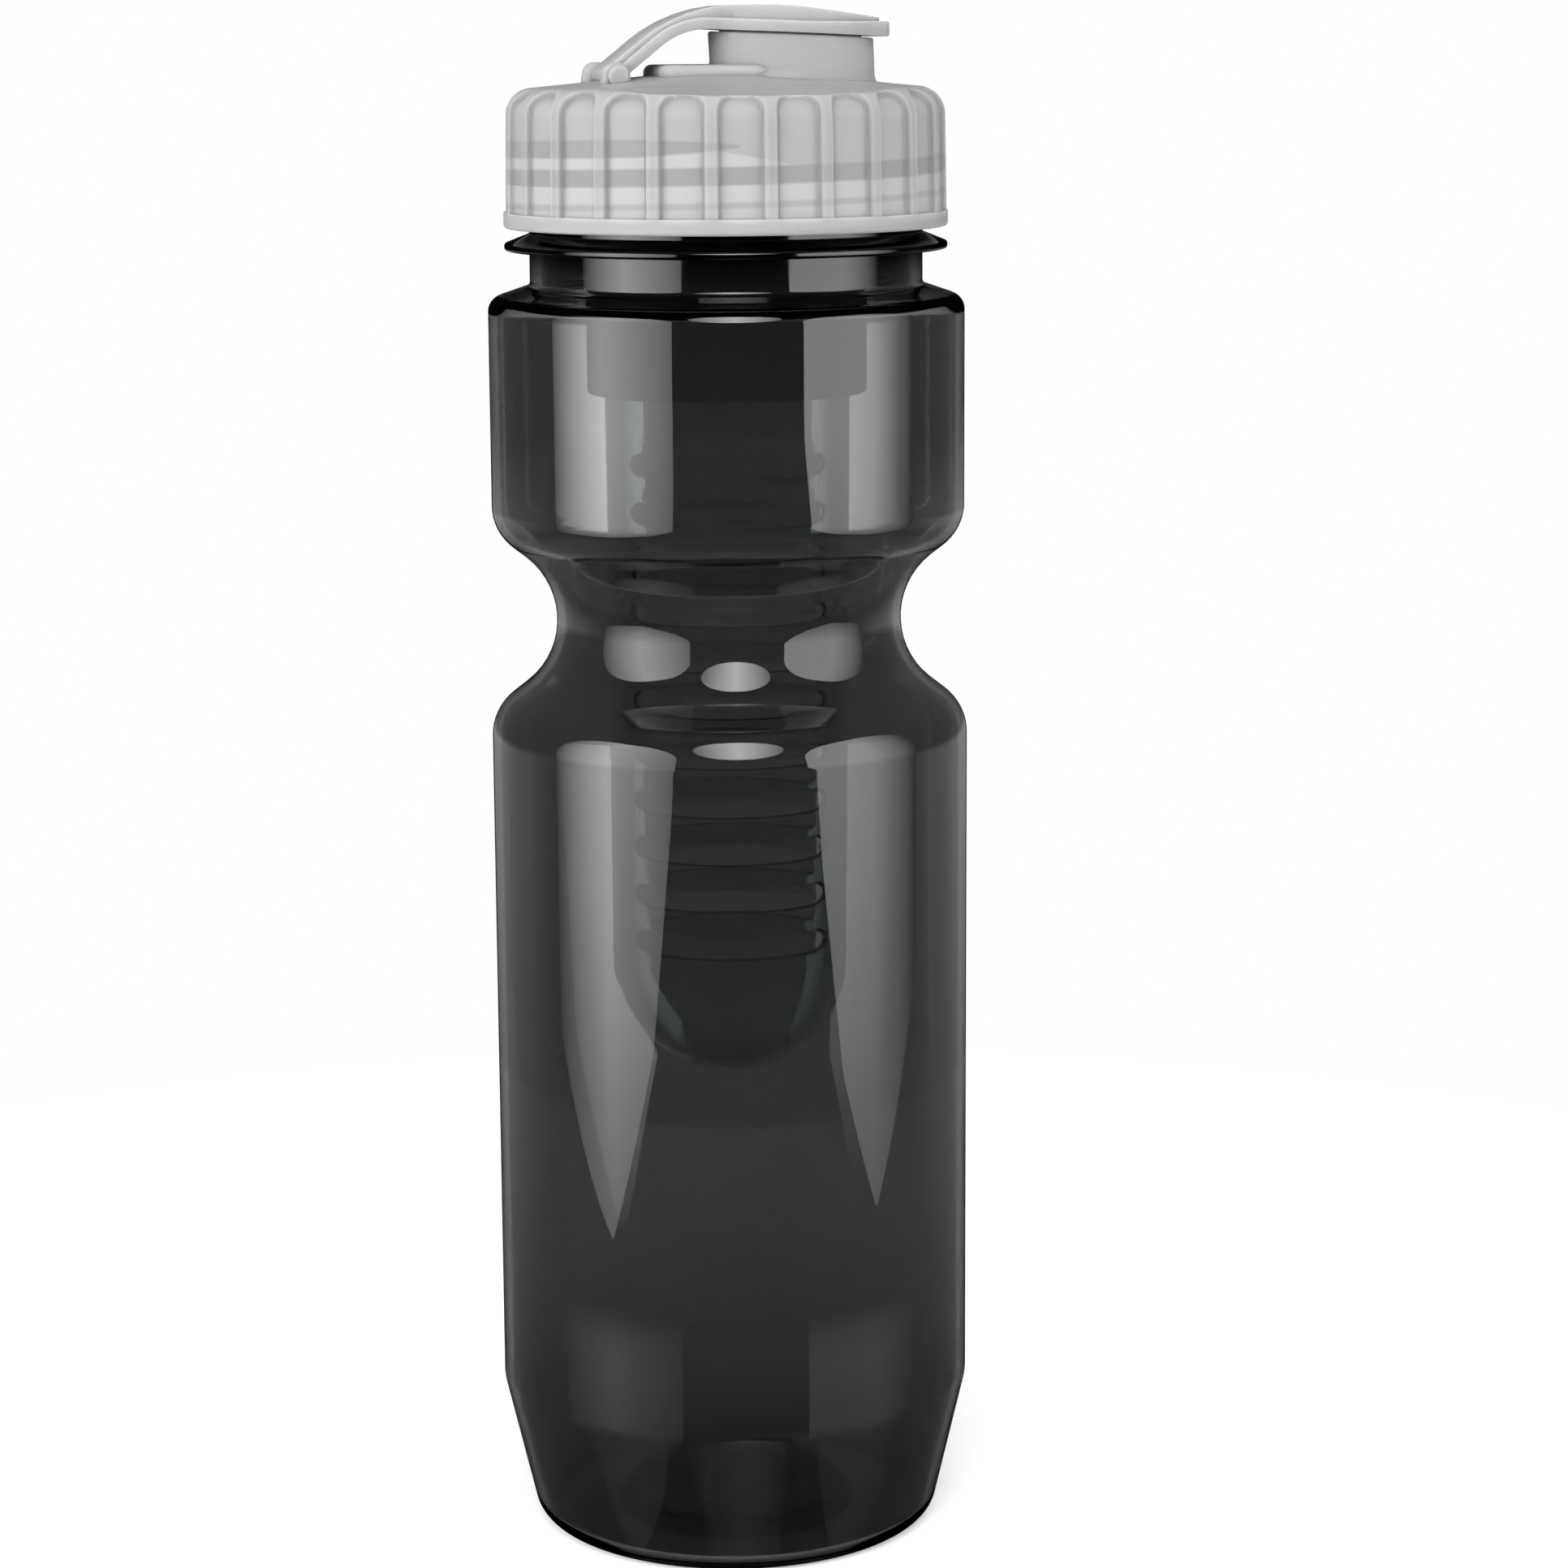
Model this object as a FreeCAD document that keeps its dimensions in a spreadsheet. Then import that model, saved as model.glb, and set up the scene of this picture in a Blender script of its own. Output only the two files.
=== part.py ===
import FreeCAD, Part
import math
import os
import re
import Sketcher

# Fruit infuser water bottle. Millimetres and degrees, +Z up.
# The origin is the middle of the standing ring, on the bottle's axis. The spout is at +X, the hinge at -X.

SIZES = {
    # Bottle body
    "body_radius": 37.0,
    "upper_inset": 0.5,
    "wall": 1.3,
    "base_wall": 1.8,
    "foot_inset": 5.45,
    "foot_round": 4.1,
    "taper_height": 23.3,
    "taper_round": 8.0,
    "waist_depth": 10.3,
    "waist_height": 145.0,
    "waist_arc": 13.0,
    "waist_edge_arc": 7.5,
    "waist_slope": 52.0,
    "upper_length": 49.3,
    "shoulder_round": 2.5,
    # Push-up under the base
    "ring_inner_radius": 18.4,
    "step_width": 1.0,
    "step_height": 2.6,
    "step_round": 0.8,
    "ledge_width": 7.1,
    "ledge_rise": 2.4,
    "dome_rise": 1.6,
    "nub_radius": 4.9,
    "nub_rise": 1.2,
    "nub_round": 0.6,
    # Neck
    "shoulder_width": 6.45,
    "shoulder_rise": 2.2,
    "neck_wall": 1.8,
    "neck_foot_length": 5.3,
    "neck_foot_round": 0.8,
    "bead_width": 3.8,
    "bead_edge": 1.0,
    "bead_rise": 2.5,
    "bead_round": 0.45,
    "neck_length": 19.1,
    "lip_round": 0.5,
    # Lid shell
    "gasket_thickness": 2.5,
    "gasket_margin": 0.3,
    "thread_room": 1.45,
    "lid_wall": 1.9,
    "skirt_draft": 0.3,
    "flange_gap": 0.9,
    "flange_width": 0.2,
    "flange_height": 2.4,
    "flange_round": 0.6,
    "lid_edge_rise": 1.75,
    "lid_edge_round": 4.2,
    "lid_top_rise": 3.85,
    "lid_top_wall": 2.3,
    "lid_inner_round": 0.8,
    # Arched panels between the ribs
    "panel_count": 24,
    "panel_width": 6.5,
    "panel_depth": 1.0,
    "panel_drop": 0.15,
    "panel_round": 2.3,
    "panel_reach": 2.4,
    # Ring under the lid that carries the infuser collar
    "socket_step": 1.02,
    "socket_wall": 1.3,
    "socket_length": 20.4,
    "socket_round": 0.4,
    # Spout and the pad at its foot
    "spout_offset": 10.3,
    "spout_radius": 12.6,
    "spout_wall": 1.5,
    "spout_height": 5.6,
    "spout_sink": 1.3,
    "rim_gap": 0.3,
    "pour_margin": 0.9,
    "pad_rise": 0.5,
    "pad_margin": 0.4,
    "pad_gap": 6.9,
    "pad_end_width": 17.0,
    "pad_corner": 3.0,
    "pad_round": 1.0,
    # Hinge
    "hinge_offset": 18.3,
    "hinge_drop": 1.0,
    "ear_gap": 14.0,
    "ear_thickness": 3.0,
    "ear_radius": 1.9,
    "ear_foot": 5.4,
    "ear_round": 1.1,
    "pin_radius": 1.0,
    "pin_length": 2.2,
    "pin_clearance": 0.05,
    "heel_clearance": 0.3,
    # Strap
    "strap_rise": 38.7,
    "heel_radius": 1.3,
    "strap_plate": 1.7,
    "strap_droop": 2.6,
    "strap_crown_arc": 24.0,
    "strap_under_arc": 11.0,
    "strap_top_arc": 50.0,
    "crown_rise": 3.75,
    "crown_flat": 6.0,
    "tab_length": 2.2,
    "tab_thickness": 2.1,
    "tab_width": 12.0,
    "tab_round": 3.0,
    "disc_margin": 0.7,
    "disc_flare": 9.0,
    "rib_inset": 1.3,
    "plug_depth": 3.3,
    "plug_wall": 1.7,
    "plug_taper": 0.8,
    "plug_clearance": 0.2,
    # Infuser
    "collar_wall": 1.52,
    "collar_reach": 23.0,
    "collar_top_gap": 0.5,
    "collar_round": 0.5,
    "ledge_gap": 0.7,
    "running_clearance": 0.08,
    "tube_radius": 18.88,
    "tube_taper": 0.93,
    "tube_length": 88.9,
    "tube_wall": 1.5,
    "tube_top_gap": 0.7,
    "slot_count": 11,
    "slot_pitch": 7.4,
    "slot_start": 4.9,
    "slot_margin": 4.78,
    "slot_height": 3.6,
    "infuser_turn": -11.5,
    # Extra length by which every cutter passes the face it cuts
    "overrun": 2.0,
}

# Radii, heights and places that follow from the sizes above, each piece from the one that carries it
PLACES = {
    # Bottle, from its foot up
    "upper_radius": "body_radius - upper_inset",
    "foot_radius": "body_radius - foot_inset",
    "waist_radius": "body_radius - waist_depth",
    "step_radius": "ring_inner_radius - step_width",
    "dome_radius": "step_radius - ledge_width",
    "dome_edge_height": "step_height + ledge_rise",
    "dome_height": "dome_edge_height + dome_rise",
    "shoulder_height": "waist_height + upper_length",
    "neck_radius": "upper_radius - shoulder_width",
    "neck_foot_height": "shoulder_height + shoulder_rise",
    "bead_radius": "neck_radius + bead_width",
    "bead_height": "neck_foot_height + neck_foot_length",
    "lip_height": "bead_height + neck_length",
    # Lid, on the neck
    "ceiling": "lip_height + gasket_thickness",
    "lid_bore": "neck_radius + thread_room",
    "lid_radius": "lid_bore + lid_wall",
    "skirt_radius": "lid_radius + skirt_draft",
    "flange_radius": "skirt_radius + flange_width",
    "flange_bottom": "bead_height + bead_rise + flange_gap",
    "flange_top": "flange_bottom + flange_height",
    "lid_edge_height": "ceiling + lid_edge_rise",
    "lid_top_height": "lid_edge_height + lid_top_rise",
    "cone_rate": "lid_top_rise / lid_radius",
    "panel_start": "lid_radius - panel_reach",
    "panel_top": "lid_edge_height - panel_drop",
    "socket_radius": "tube_radius + socket_step",
    "socket_bore": "socket_radius - socket_wall",
    "socket_bottom": "ceiling - socket_length",
    # Spout and hinge, on the lid's top
    "spout_floor": "lid_top_height - spout_sink",
    "pour_radius": "socket_bore - spout_offset - pour_margin",
    "pad_radius": "spout_radius + pad_margin",
    "pad_top": "lid_top_height + pad_rise",
    "pad_end": "hinge_offset - pad_gap",
    "hinge_height": "lid_top_height - hinge_drop",
    "ear_top": "hinge_height + ear_radius",
    "heel_half_width": "ear_gap / 2 - heel_clearance",
    "pin_reach": "heel_half_width + pin_length",
    "bore_reach": "pin_reach + heel_clearance",
    # Strap, over the spout
    "strap_height": "lid_top_height + spout_height",
    "strap_crown": "strap_height + crown_rise",
    "disc_radius": "spout_radius + disc_margin",
    "tab_reach": "spout_offset + disc_radius + tab_length",
    "plug_rim": "spout_radius - spout_wall - plug_clearance",
    "plug_tip": "plug_rim - plug_taper",
    "plug_root": "strap_height - spout_offset * tan(strap_droop * 1deg)",
    "plug_foot": "plug_root - plug_depth",
    "plug_top": "plug_root + strap_plate / 2",
    # Infuser, under the lid's ring
    "collar_bore": "socket_radius + running_clearance",
    "collar_radius": "collar_bore + collar_wall",
    "collar_top": "ceiling - collar_top_gap",
    "collar_ledge": "socket_bottom - ledge_gap",
    "collar_bottom": "socket_bottom - collar_reach",
    "tube_bore": "tube_radius + running_clearance",
    "tube_top": "collar_ledge - tube_top_gap",
    "tube_end_radius": "tube_radius - tube_taper",
    "tube_end_height": "collar_bottom - tube_length",
    "slot_first": "tube_end_height + slot_start",
    "slot_reach": "tube_radius - slot_margin",
}

SLOT_ROUND_SHARE = 0.48
HEEL_ROUND_SHARE = 0.96
TUBE_END_SHARE = 0.98
PAD_FRONT_SHARE = 0.85
NEAR = 0.01
FLARE_START_SHARE = 1.05
FLARE_END_SHARE = 0.5

doc = FreeCAD.newDocument("infuser_bottle")
sheet = doc.addObject("Spreadsheet::Sheet", "Sizes")
for row, (alias, size) in enumerate(SIZES.items(), start=1):
    sheet.set(f"A{row}", alias)
    sheet.set(f"B{row}", str(size))
    sheet.setAlias(f"B{row}", alias)
doc.recompute()


def bound(text):
    """Writes an expression on the sheet's own cells: places give way to the sizes that they follow from."""

    def cell(word):
        name = word.group()
        if name in SIZES:
            return "Sizes." + name
        return f"({bound(PLACES[name])})" if name in PLACES else name

    return re.sub(r"[a-z_][a-z0-9_]*", cell, text)


def value(text):
    """The number that an expression gives with the sheet as it is."""
    return float(sheet.evalExpression(bound(text)))


def corner_arc(before, corner, after, radius):
    """Start, end, centre and sense of the round at a corner."""
    towards_before = (before - corner).normalize()
    towards_after = (after - corner).normalize()
    half_angle = towards_before.getAngle(towards_after) / 2
    start = corner + towards_before * (radius / math.tan(half_angle))
    end = corner + towards_after * (radius / math.tan(half_angle))
    middle = (towards_before + towards_after).normalize()
    centre = corner + middle * (radius / math.sin(half_angle))
    turns_left = (corner - before).cross(after - corner).z > 0
    return start, end, centre, turns_left


def outline(body, name, plane, corners):
    """Draws a closed outline of straight runs on one of the body's own planes.

    A corner is (across, up) or (across, up, radius), each an expression on the sheet.
    """
    sketch = body.newObject("Sketcher::SketchObject", name)
    support = next(item for item in body.Origin.OriginFeatures if item.Role == plane)
    sketch.AttachmentSupport = (support, [""])
    sketch.MapMode = "FlatFace"
    points = [FreeCAD.Vector(value(corner[0]), value(corner[1]), 0) for corner in corners]
    count = len(corners)
    arcs = {}
    for index, corner in enumerate(corners):
        if len(corner) > 2:
            before, after = points[index - 1], points[(index + 1) % count]
            arcs[index] = corner_arc(before, points[index], after, value(corner[2]))

    # Line number n runs from corner n to corner n + 1
    for index in range(count):
        following = (index + 1) % count
        start = arcs[index][1] if index in arcs else points[index]
        end = arcs[following][0] if following in arcs else points[following]
        sketch.addGeometry(Part.LineSegment(start, end), False)

    constraints = []
    bindings = []

    def bind(constraint, expression):
        bindings.append((len(constraints), expression))
        constraints.append(constraint)

    for index, corner in enumerate(corners):
        line_in, line_out = (index - 1) % count, index
        point = points[index]
        if index not in arcs:
            constraints.append(Sketcher.Constraint("Coincident", line_in, 2, line_out, 1))
            holder = line_out
        else:
            start, end, centre, turns_left = arcs[index]
            first, last = (start, end) if turns_left else (end, start)
            circle = Part.Circle(centre, FreeCAD.Vector(0, 0, 1), value(corner[2]))
            angles = [math.atan2(tip.y - centre.y, tip.x - centre.x) for tip in (first, last)]
            arc = sketch.addGeometry(Part.ArcOfCircle(circle, *angles), False)
            holder = sketch.addGeometry(Part.Point(point), True)
            into, out_of = (1, 2) if turns_left else (2, 1)
            constraints.append(Sketcher.Constraint("Tangent", line_in, 2, arc, into))
            constraints.append(Sketcher.Constraint("Tangent", arc, out_of, line_out, 1))
            constraints.append(Sketcher.Constraint("PointOnObject", holder, 1, line_in))
            constraints.append(Sketcher.Constraint("PointOnObject", holder, 1, line_out))
            bind(Sketcher.Constraint("Radius", arc, value(corner[2])), corner[2])
        bind(Sketcher.Constraint("DistanceX", -1, 1, holder, 1, point.x), corner[0])
        bind(Sketcher.Constraint("DistanceY", -1, 1, holder, 1, point.y), corner[1])
    sketch.addConstraint(constraints)
    for index, expression in bindings:
        sketch.setExpression(f"Constraints[{index}]", bound(expression))
    return sketch


def new_body(label):
    """An empty body with the label that names its piece."""
    body = doc.addObject("PartDesign::Body", label)
    body.Label = label
    return body


def turned(label, corners, offset=None):
    """A body of revolution about the vertical axis, moved along X by offset."""
    body = new_body(label)
    sketch = outline(body, label + "_profile", "XZ_Plane", corners)
    turn = body.newObject("PartDesign::Revolution", label + "_turn")
    turn.Profile = sketch
    turn.ReferenceAxis = (sketch, ["V_Axis"])
    sketch.Visibility = False
    if offset:
        body.setExpression("Placement.Base.x", bound(offset))
    return body


def prism(label, plane, corners, length, lift=None, both_ways=False):
    """A body padded from an outline, which starts lift away from its plane or reaches both ways from it."""
    body = new_body(label)
    sketch = outline(body, label + "_outline", plane, corners)
    if lift:
        sketch.setExpression("AttachmentOffset.Base.z", bound(lift))
    pad = body.newObject("PartDesign::Pad", label + "_pad")
    pad.Profile = sketch
    pad.Midplane = both_ways
    pad.setExpression("Length", bound(length))
    sketch.Visibility = False
    return body


def round_edges(body, name, chosen, radius):
    """Rounds the edges of the body's last feature whose boxes are chosen."""
    edges = [
        f"Edge{number}"
        for number, edge in enumerate(body.Tip.Shape.Edges, start=1)
        if chosen(edge.BoundBox)
    ]
    fillet = body.newObject("PartDesign::Fillet", name)
    fillet.Base = (fillet.BaseFeature, edges)
    fillet.setExpression("Radius", bound(radius))


def rod(label, radius, length, across, along, up, sideways=False):
    """A round bar from a point, upright or along +Y."""
    bar = doc.addObject("Part::Cylinder", label)
    bar.setExpression("Radius", bound(radius))
    bar.setExpression("Height", bound(length))
    if sideways:
        bar.Placement.Rotation = FreeCAD.Rotation(FreeCAD.Vector(1, 0, 0), -90)
    for direction, expression in (("x", across), ("y", along), ("z", up)):
        bar.setExpression("Placement.Base." + direction, bound(expression))
    return bar


def joined(label, pieces):
    """Several shapes fused into one."""
    fuse = doc.addObject("Part::MultiFuse", label)
    fuse.Shapes = pieces
    fuse.Refine = True
    return fuse


def overlap(label, pieces):
    """The space that several shapes share."""
    common = doc.addObject("Part::MultiCommon", label)
    common.Shapes = pieces
    return common


def without(label, base, tool):
    """A shape less another one."""
    cut = doc.addObject("Part::Cut", label)
    cut.Base = base
    cut.Tool = tool
    return cut


# Bottle: one profile of the outside and the inside, turned about the axis.
# The waist is a hollow arc between two slopes. Its corner lies where the slopes would meet.

def waist_corner(inset):
    """Radius at which the slopes of a wall that lies inset inside the outer one would meet."""
    return f"(waist_radius - {inset} - (waist_arc + {inset}) * (1 / cos(waist_slope * 1deg) - 1))"


def waist_profile(inset):
    """Corners of the waist from below, on a wall that lies inset inside the outer one."""
    reach = "(1 / tan(waist_slope * 1deg))"
    low = f"waist_height - (body_radius - {inset} - {waist_corner(inset)}) * {reach}"
    high = f"waist_height + (upper_radius - {inset} - {waist_corner(inset)}) * {reach}"
    return [
        (f"body_radius - {inset}", low, f"waist_edge_arc - {inset}"),
        (waist_corner(inset), "waist_height", f"waist_arc + {inset}"),
        (f"upper_radius - {inset}", high, f"waist_edge_arc - {inset}"),
    ]


outer_wall = [
    ("dome_radius", "dome_edge_height", "step_round"),
    ("step_radius", "step_height", "step_round"),
    ("ring_inner_radius", "0", "step_round"),
    ("foot_radius", "0", "foot_round"),
    ("body_radius", "taper_height", "taper_round"),
    *waist_profile("0"),
    ("upper_radius", "shoulder_height", "shoulder_round"),
    ("neck_radius", "neck_foot_height", "neck_foot_round"),
    ("neck_radius", "bead_height"),
    ("bead_radius", "bead_height", "bead_round"),
    ("bead_radius", "bead_height + bead_edge", "bead_round"),
    ("neck_radius", "bead_height + bead_rise"),
    ("neck_radius", "lip_height", "lip_round"),
]
taper_rate = "(body_radius - foot_radius) / taper_height"
inner_wall = [
    ("neck_radius - neck_wall", "lip_height", "lip_round"),
    ("neck_radius - neck_wall", "neck_foot_height - wall", "shoulder_round"),
    ("upper_radius - wall", "shoulder_height - wall", "shoulder_round - wall"),
    *reversed(waist_profile("wall")),
    ("body_radius - wall", "taper_height", "taper_round"),
    (f"foot_radius - wall + base_wall * {taper_rate}", "base_wall", "foot_round - wall"),
    ("ring_inner_radius", "base_wall", "step_round"),
    ("step_radius", "step_height + base_wall", "step_round"),
    ("dome_radius", "dome_edge_height + base_wall", "step_round"),
    ("nub_radius", "dome_height + base_wall"),
    ("nub_radius", "dome_height + base_wall + nub_rise", "nub_round"),
]
bottle = turned(
    "bottle",
    [("0", "dome_height"), *outer_wall, *inner_wall, ("0", "dome_height + base_wall + nub_rise")],
)

# Lid shell: skirt with its flange, shallow conical top, and the ring inside that carries the collar.

lid_shell = turned(
    "lid_shell",
    [
        ("lid_bore", "flange_bottom"),
        ("flange_radius", "flange_bottom", "flange_round"),
        ("flange_radius", "flange_top", "flange_round"),
        ("skirt_radius", "flange_top"),
        ("lid_radius", "lid_edge_height", "lid_edge_round"),
        ("0", "lid_top_height"),
        ("0", "lid_top_height - lid_top_wall"),
        ("socket_bore", "lid_top_height - lid_top_wall - socket_bore * cone_rate"),
        ("socket_bore", "socket_bottom", "socket_round"),
        ("socket_radius", "socket_bottom", "socket_round"),
        ("socket_radius", "ceiling"),
        ("lid_bore", "ceiling", "lid_inner_round"),
    ],
)

# Panels: upright prisms with an arched top stand round the skirt and take only its outer layer away.

panel_floor = turned(
    "panel_floor",
    [
        ("skirt_radius - panel_depth", "flange_top"),
        ("skirt_radius + overrun", "flange_top"),
        ("skirt_radius + overrun", "lid_edge_height + overrun"),
        ("panel_start - overrun", "lid_edge_height + overrun"),
        ("panel_start - overrun", "lid_edge_height - panel_depth"),
        ("lid_radius - panel_depth", "lid_edge_height - panel_depth", "lid_edge_round - panel_depth"),
    ],
)
panel_arch = prism(
    "panel_arch",
    "YZ_Plane",
    [
        ("-panel_width / 2", "flange_bottom"),
        ("panel_width / 2", "flange_bottom"),
        ("panel_width / 2", "panel_top", "panel_round"),
        ("-panel_width / 2", "panel_top", "panel_round"),
    ],
    "skirt_radius + overrun - panel_start",
    lift="panel_start",
)
arch_ring = panel_arch.newObject("PartDesign::PolarPattern", "panel_ring")
arch_ring.Originals = [panel_arch.Tip]
arch_axis = next(item for item in panel_arch.Origin.OriginFeatures if item.Role == "Z_Axis")
arch_ring.Axis = (arch_axis, [""])
arch_ring.setExpression("Occurrences", bound("panel_count"))
panel_arch.Tip = arch_ring
panels = overlap("panels", [panel_floor, panel_arch])

# Spout, with the pad that carries its foot and ends short of the hinge.

spout = turned(
    "spout",
    [
        ("0", "ceiling"),
        ("spout_radius", "ceiling"),
        ("spout_radius", "strap_crown"),
        ("0", "strap_crown"),
    ],
    offset="spout_offset",
)
pad_front_round = f"pad_radius * {PAD_FRONT_SHARE}"
pad = prism(
    "pad",
    "XY_Plane",
    [
        ("-pad_end", "-pad_end_width / 2", "pad_corner"),
        ("spout_offset", "-pad_radius", "spout_radius"),
        ("spout_offset + pad_radius", "-pad_radius", pad_front_round),
        ("spout_offset + pad_radius", "pad_radius", pad_front_round),
        ("spout_offset", "pad_radius", "spout_radius"),
        ("-pad_end", "pad_end_width / 2", "pad_corner"),
    ],
    "pad_top - ceiling",
    lift="ceiling",
)
doc.recompute()
round_edges(pad, "pad_soft_edge", lambda box: box.ZMin > value("pad_top") - NEAR, "pad_round")

# The spout's rim slopes with the strap that closes it, a gap below the strap.

rim_cutter = doc.addObject("Part::Box", "rim_cutter")
rim_cutter.Placement.Rotation = FreeCAD.Rotation(FreeCAD.Vector(0, 1, 0), value("strap_droop"))
for target, expression in (
    ("Length", "pad_end + spout_offset + spout_radius + overrun"),
    ("Width", "2 * (spout_radius + overrun)"),
    ("Height", "strap_crown - spout_floor"),
    ("Placement.Base.x", "-pad_end * cos(strap_droop * 1deg)"),
    ("Placement.Base.y", "-(spout_radius + overrun)"),
    ("Placement.Base.z", "strap_height - rim_gap + pad_end * sin(strap_droop * 1deg)"),
):
    rim_cutter.setExpression(target, bound(expression))
spout_bore = rod(
    "spout_bore", "spout_radius - spout_wall", "strap_crown - spout_floor", "spout_offset", "0", "spout_floor"
)
spout_wall = without("spout_wall", without("spout_trimmed", spout, rim_cutter), spout_bore)

# Hinge ears: one arched block, open in the middle for the strap, with a blind bore for its pins.

ears = prism(
    "ears",
    "XZ_Plane",
    [
        ("-hinge_offset - ear_foot / 2", "ceiling"),
        ("-hinge_offset + ear_foot / 2", "ceiling"),
        ("-hinge_offset + ear_radius", "ear_top", f"ear_radius * {HEEL_ROUND_SHARE}"),
        ("-hinge_offset - ear_radius", "ear_top", f"ear_radius * {HEEL_ROUND_SHARE}"),
    ],
    "ear_gap + 2 * ear_thickness",
    both_ways=True,
)
doc.recompute()
round_edges(
    ears,
    "ears_soft_edge",
    lambda box: box.YLength < NEAR and box.ZMax > value("ceiling") + NEAR,
    "ear_round",
)
heel_slot = prism(
    "heel_slot",
    "XZ_Plane",
    [
        ("-hinge_offset - ear_foot", "hinge_height - heel_radius - heel_clearance"),
        ("-pad_end", "hinge_height - heel_radius - heel_clearance"),
        ("-pad_end", "ear_top + overrun"),
        ("-hinge_offset - ear_foot", "ear_top + overrun"),
    ],
    "ear_gap",
    both_ways=True,
)
pin_bore = rod(
    "pin_bore",
    "pin_radius + pin_clearance",
    "2 * bore_reach",
    "-hinge_offset",
    "-bore_reach",
    "hinge_height",
    sideways=True,
)
pour_hole = rod(
    "pour_hole", "pour_radius", "spout_floor + overrun - socket_bottom", "spout_offset", "0", "socket_bottom"
)
lid = without(
    "lid",
    joined("lid_solid", [lid_shell, pad, spout_wall, ears]),
    joined("lid_cutters", [panels, spout_bore, pour_hole, heel_slot, pin_bore]),
)

# Gasket: a flat ring between the lip and the lid's ceiling.

gasket_bore = "neck_radius - neck_wall - gasket_margin"
lid_gasket = turned(
    "lid_gasket",
    [
        (gasket_bore, "lip_height"),
        ("lid_bore - gasket_margin", "lip_height"),
        ("lid_bore - gasket_margin", "ceiling - lid_inner_round"),
        ("lid_bore - gasket_margin - lid_inner_round", "ceiling"),
        (gasket_bore, "ceiling"),
    ],
)

# Strap: a plate with a narrower raised band on it. Both follow one side view and one plan.
# The side view rises from the hinge, then droops a little towards the thumb tab.

cos_rise, sin_rise, tan_rise = (f"{name}(strap_rise * 1deg)" for name in ("cos", "sin", "tan"))
tan_droop = "tan(strap_droop * 1deg)"


def heel_point(back, side):
    """A point of the heel's square end: back from the hinge pin, and to the side that faces up."""
    across = f"-hinge_offset - ({back}) * {cos_rise} - ({side}) * {sin_rise}"
    up = f"hinge_height - ({back}) * {sin_rise} + ({side}) * {cos_rise}"
    return across, up


def knee(side, rise):
    """Where the slope at one side of the heel meets the flatter run that lies rise above the underside."""
    drop = f"hinge_height + ({side}) / {cos_rise} + hinge_offset * {tan_rise}"
    across = f"((strap_height + {rise} - ({drop})) / ({tan_rise} + {tan_droop}))"
    return across, f"strap_height + {rise} - {across} * {tan_droop}"


def tab_end(rise):
    """The end of the thumb tab, rise above the underside."""
    return "tab_reach", f"strap_height + {rise} - tab_reach * {tan_droop}"


heel_round = f"heel_radius * {HEEL_ROUND_SHARE}"
plate_side = [
    (*heel_point("heel_radius", "-heel_radius"), heel_round),
    (*knee("-heel_radius", "0"), "strap_under_arc"),
    tab_end("0"),
    tab_end("strap_plate"),
    (*knee("strap_plate - heel_radius", "strap_plate"), "strap_under_arc + strap_plate"),
    heel_point("heel_radius", "strap_plate - heel_radius"),
]
# The band starts half way up the plate
crown_start = f"(strap_crown - hinge_height - heel_radius / {cos_rise}) / {tan_rise} - hinge_offset"
crown_end = f"{crown_start} + strap_crown_arc * tan(strap_rise / 2 * 1deg) + crown_flat"
band_side = [
    heel_point("heel_radius", "strap_plate / 2 - heel_radius"),
    (*knee("strap_plate / 2 - heel_radius", "strap_plate / 2"), "strap_under_arc + strap_plate / 2"),
    tab_end("strap_plate / 2"),
    tab_end("tab_thickness"),
    (crown_end, "strap_crown", "strap_top_arc"),
    (crown_start, "strap_crown", "strap_crown_arc"),
    (*heel_point("heel_radius", "heel_radius"), heel_round),
]


def strap_plan(inset):
    """Plan of the strap, inset all round: narrow at the heel, a disc over the spout, then the tab."""
    half = [
        ("-hinge_offset - heel_radius - overrun", f"heel_half_width - {inset}"),
        (f"spout_offset - disc_radius * {FLARE_START_SHARE}", f"heel_half_width - {inset}", "disc_flare"),
        (f"spout_offset - disc_radius * {FLARE_END_SHARE}", f"disc_radius - {inset}", "disc_flare"),
        (f"spout_offset + disc_radius * {FLARE_END_SHARE}", f"disc_radius - {inset}", "disc_flare"),
        (f"tab_reach - {inset}", f"tab_width / 2 - {inset} / 2", "tab_round"),
    ]
    near_half = [(corner[0], f"-({corner[1]})", *corner[2:]) for corner in half]
    return [*near_half, *reversed(half)]


strap_layers = []
for layer, side, inset in (("plate", plate_side, "0"), ("band", band_side, "rib_inset")):
    side_prism = prism(f"{layer}_side", "XZ_Plane", side, "2 * (disc_radius + overrun)", both_ways=True)
    plan_prism = prism(
        f"{layer}_plan", "XY_Plane", strap_plan(inset), "strap_crown + overrun - lip_height", lift="lip_height"
    )
    strap_layers.append(overlap(f"strap_{layer}", [side_prism, plan_prism]))

# Plug: a tapered cup under the disc that enters the spout, and the pins at the heel.

plug = turned(
    "plug",
    [
        ("plug_tip - plug_wall", "plug_foot"),
        ("plug_tip", "plug_foot"),
        ("plug_rim", "plug_root"),
        ("plug_rim", "plug_top"),
        ("plug_tip - plug_wall", "plug_top"),
    ],
    offset="spout_offset",
)
pins = rod("pins", "pin_radius", "2 * pin_reach", "-hinge_offset", "-pin_reach", "hinge_height", sideways=True)
flip_strap = joined("flip_strap", [*strap_layers, plug, pins])

# Collar: runs on the lid's ring above its ledge and holds the tube below it.

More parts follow.
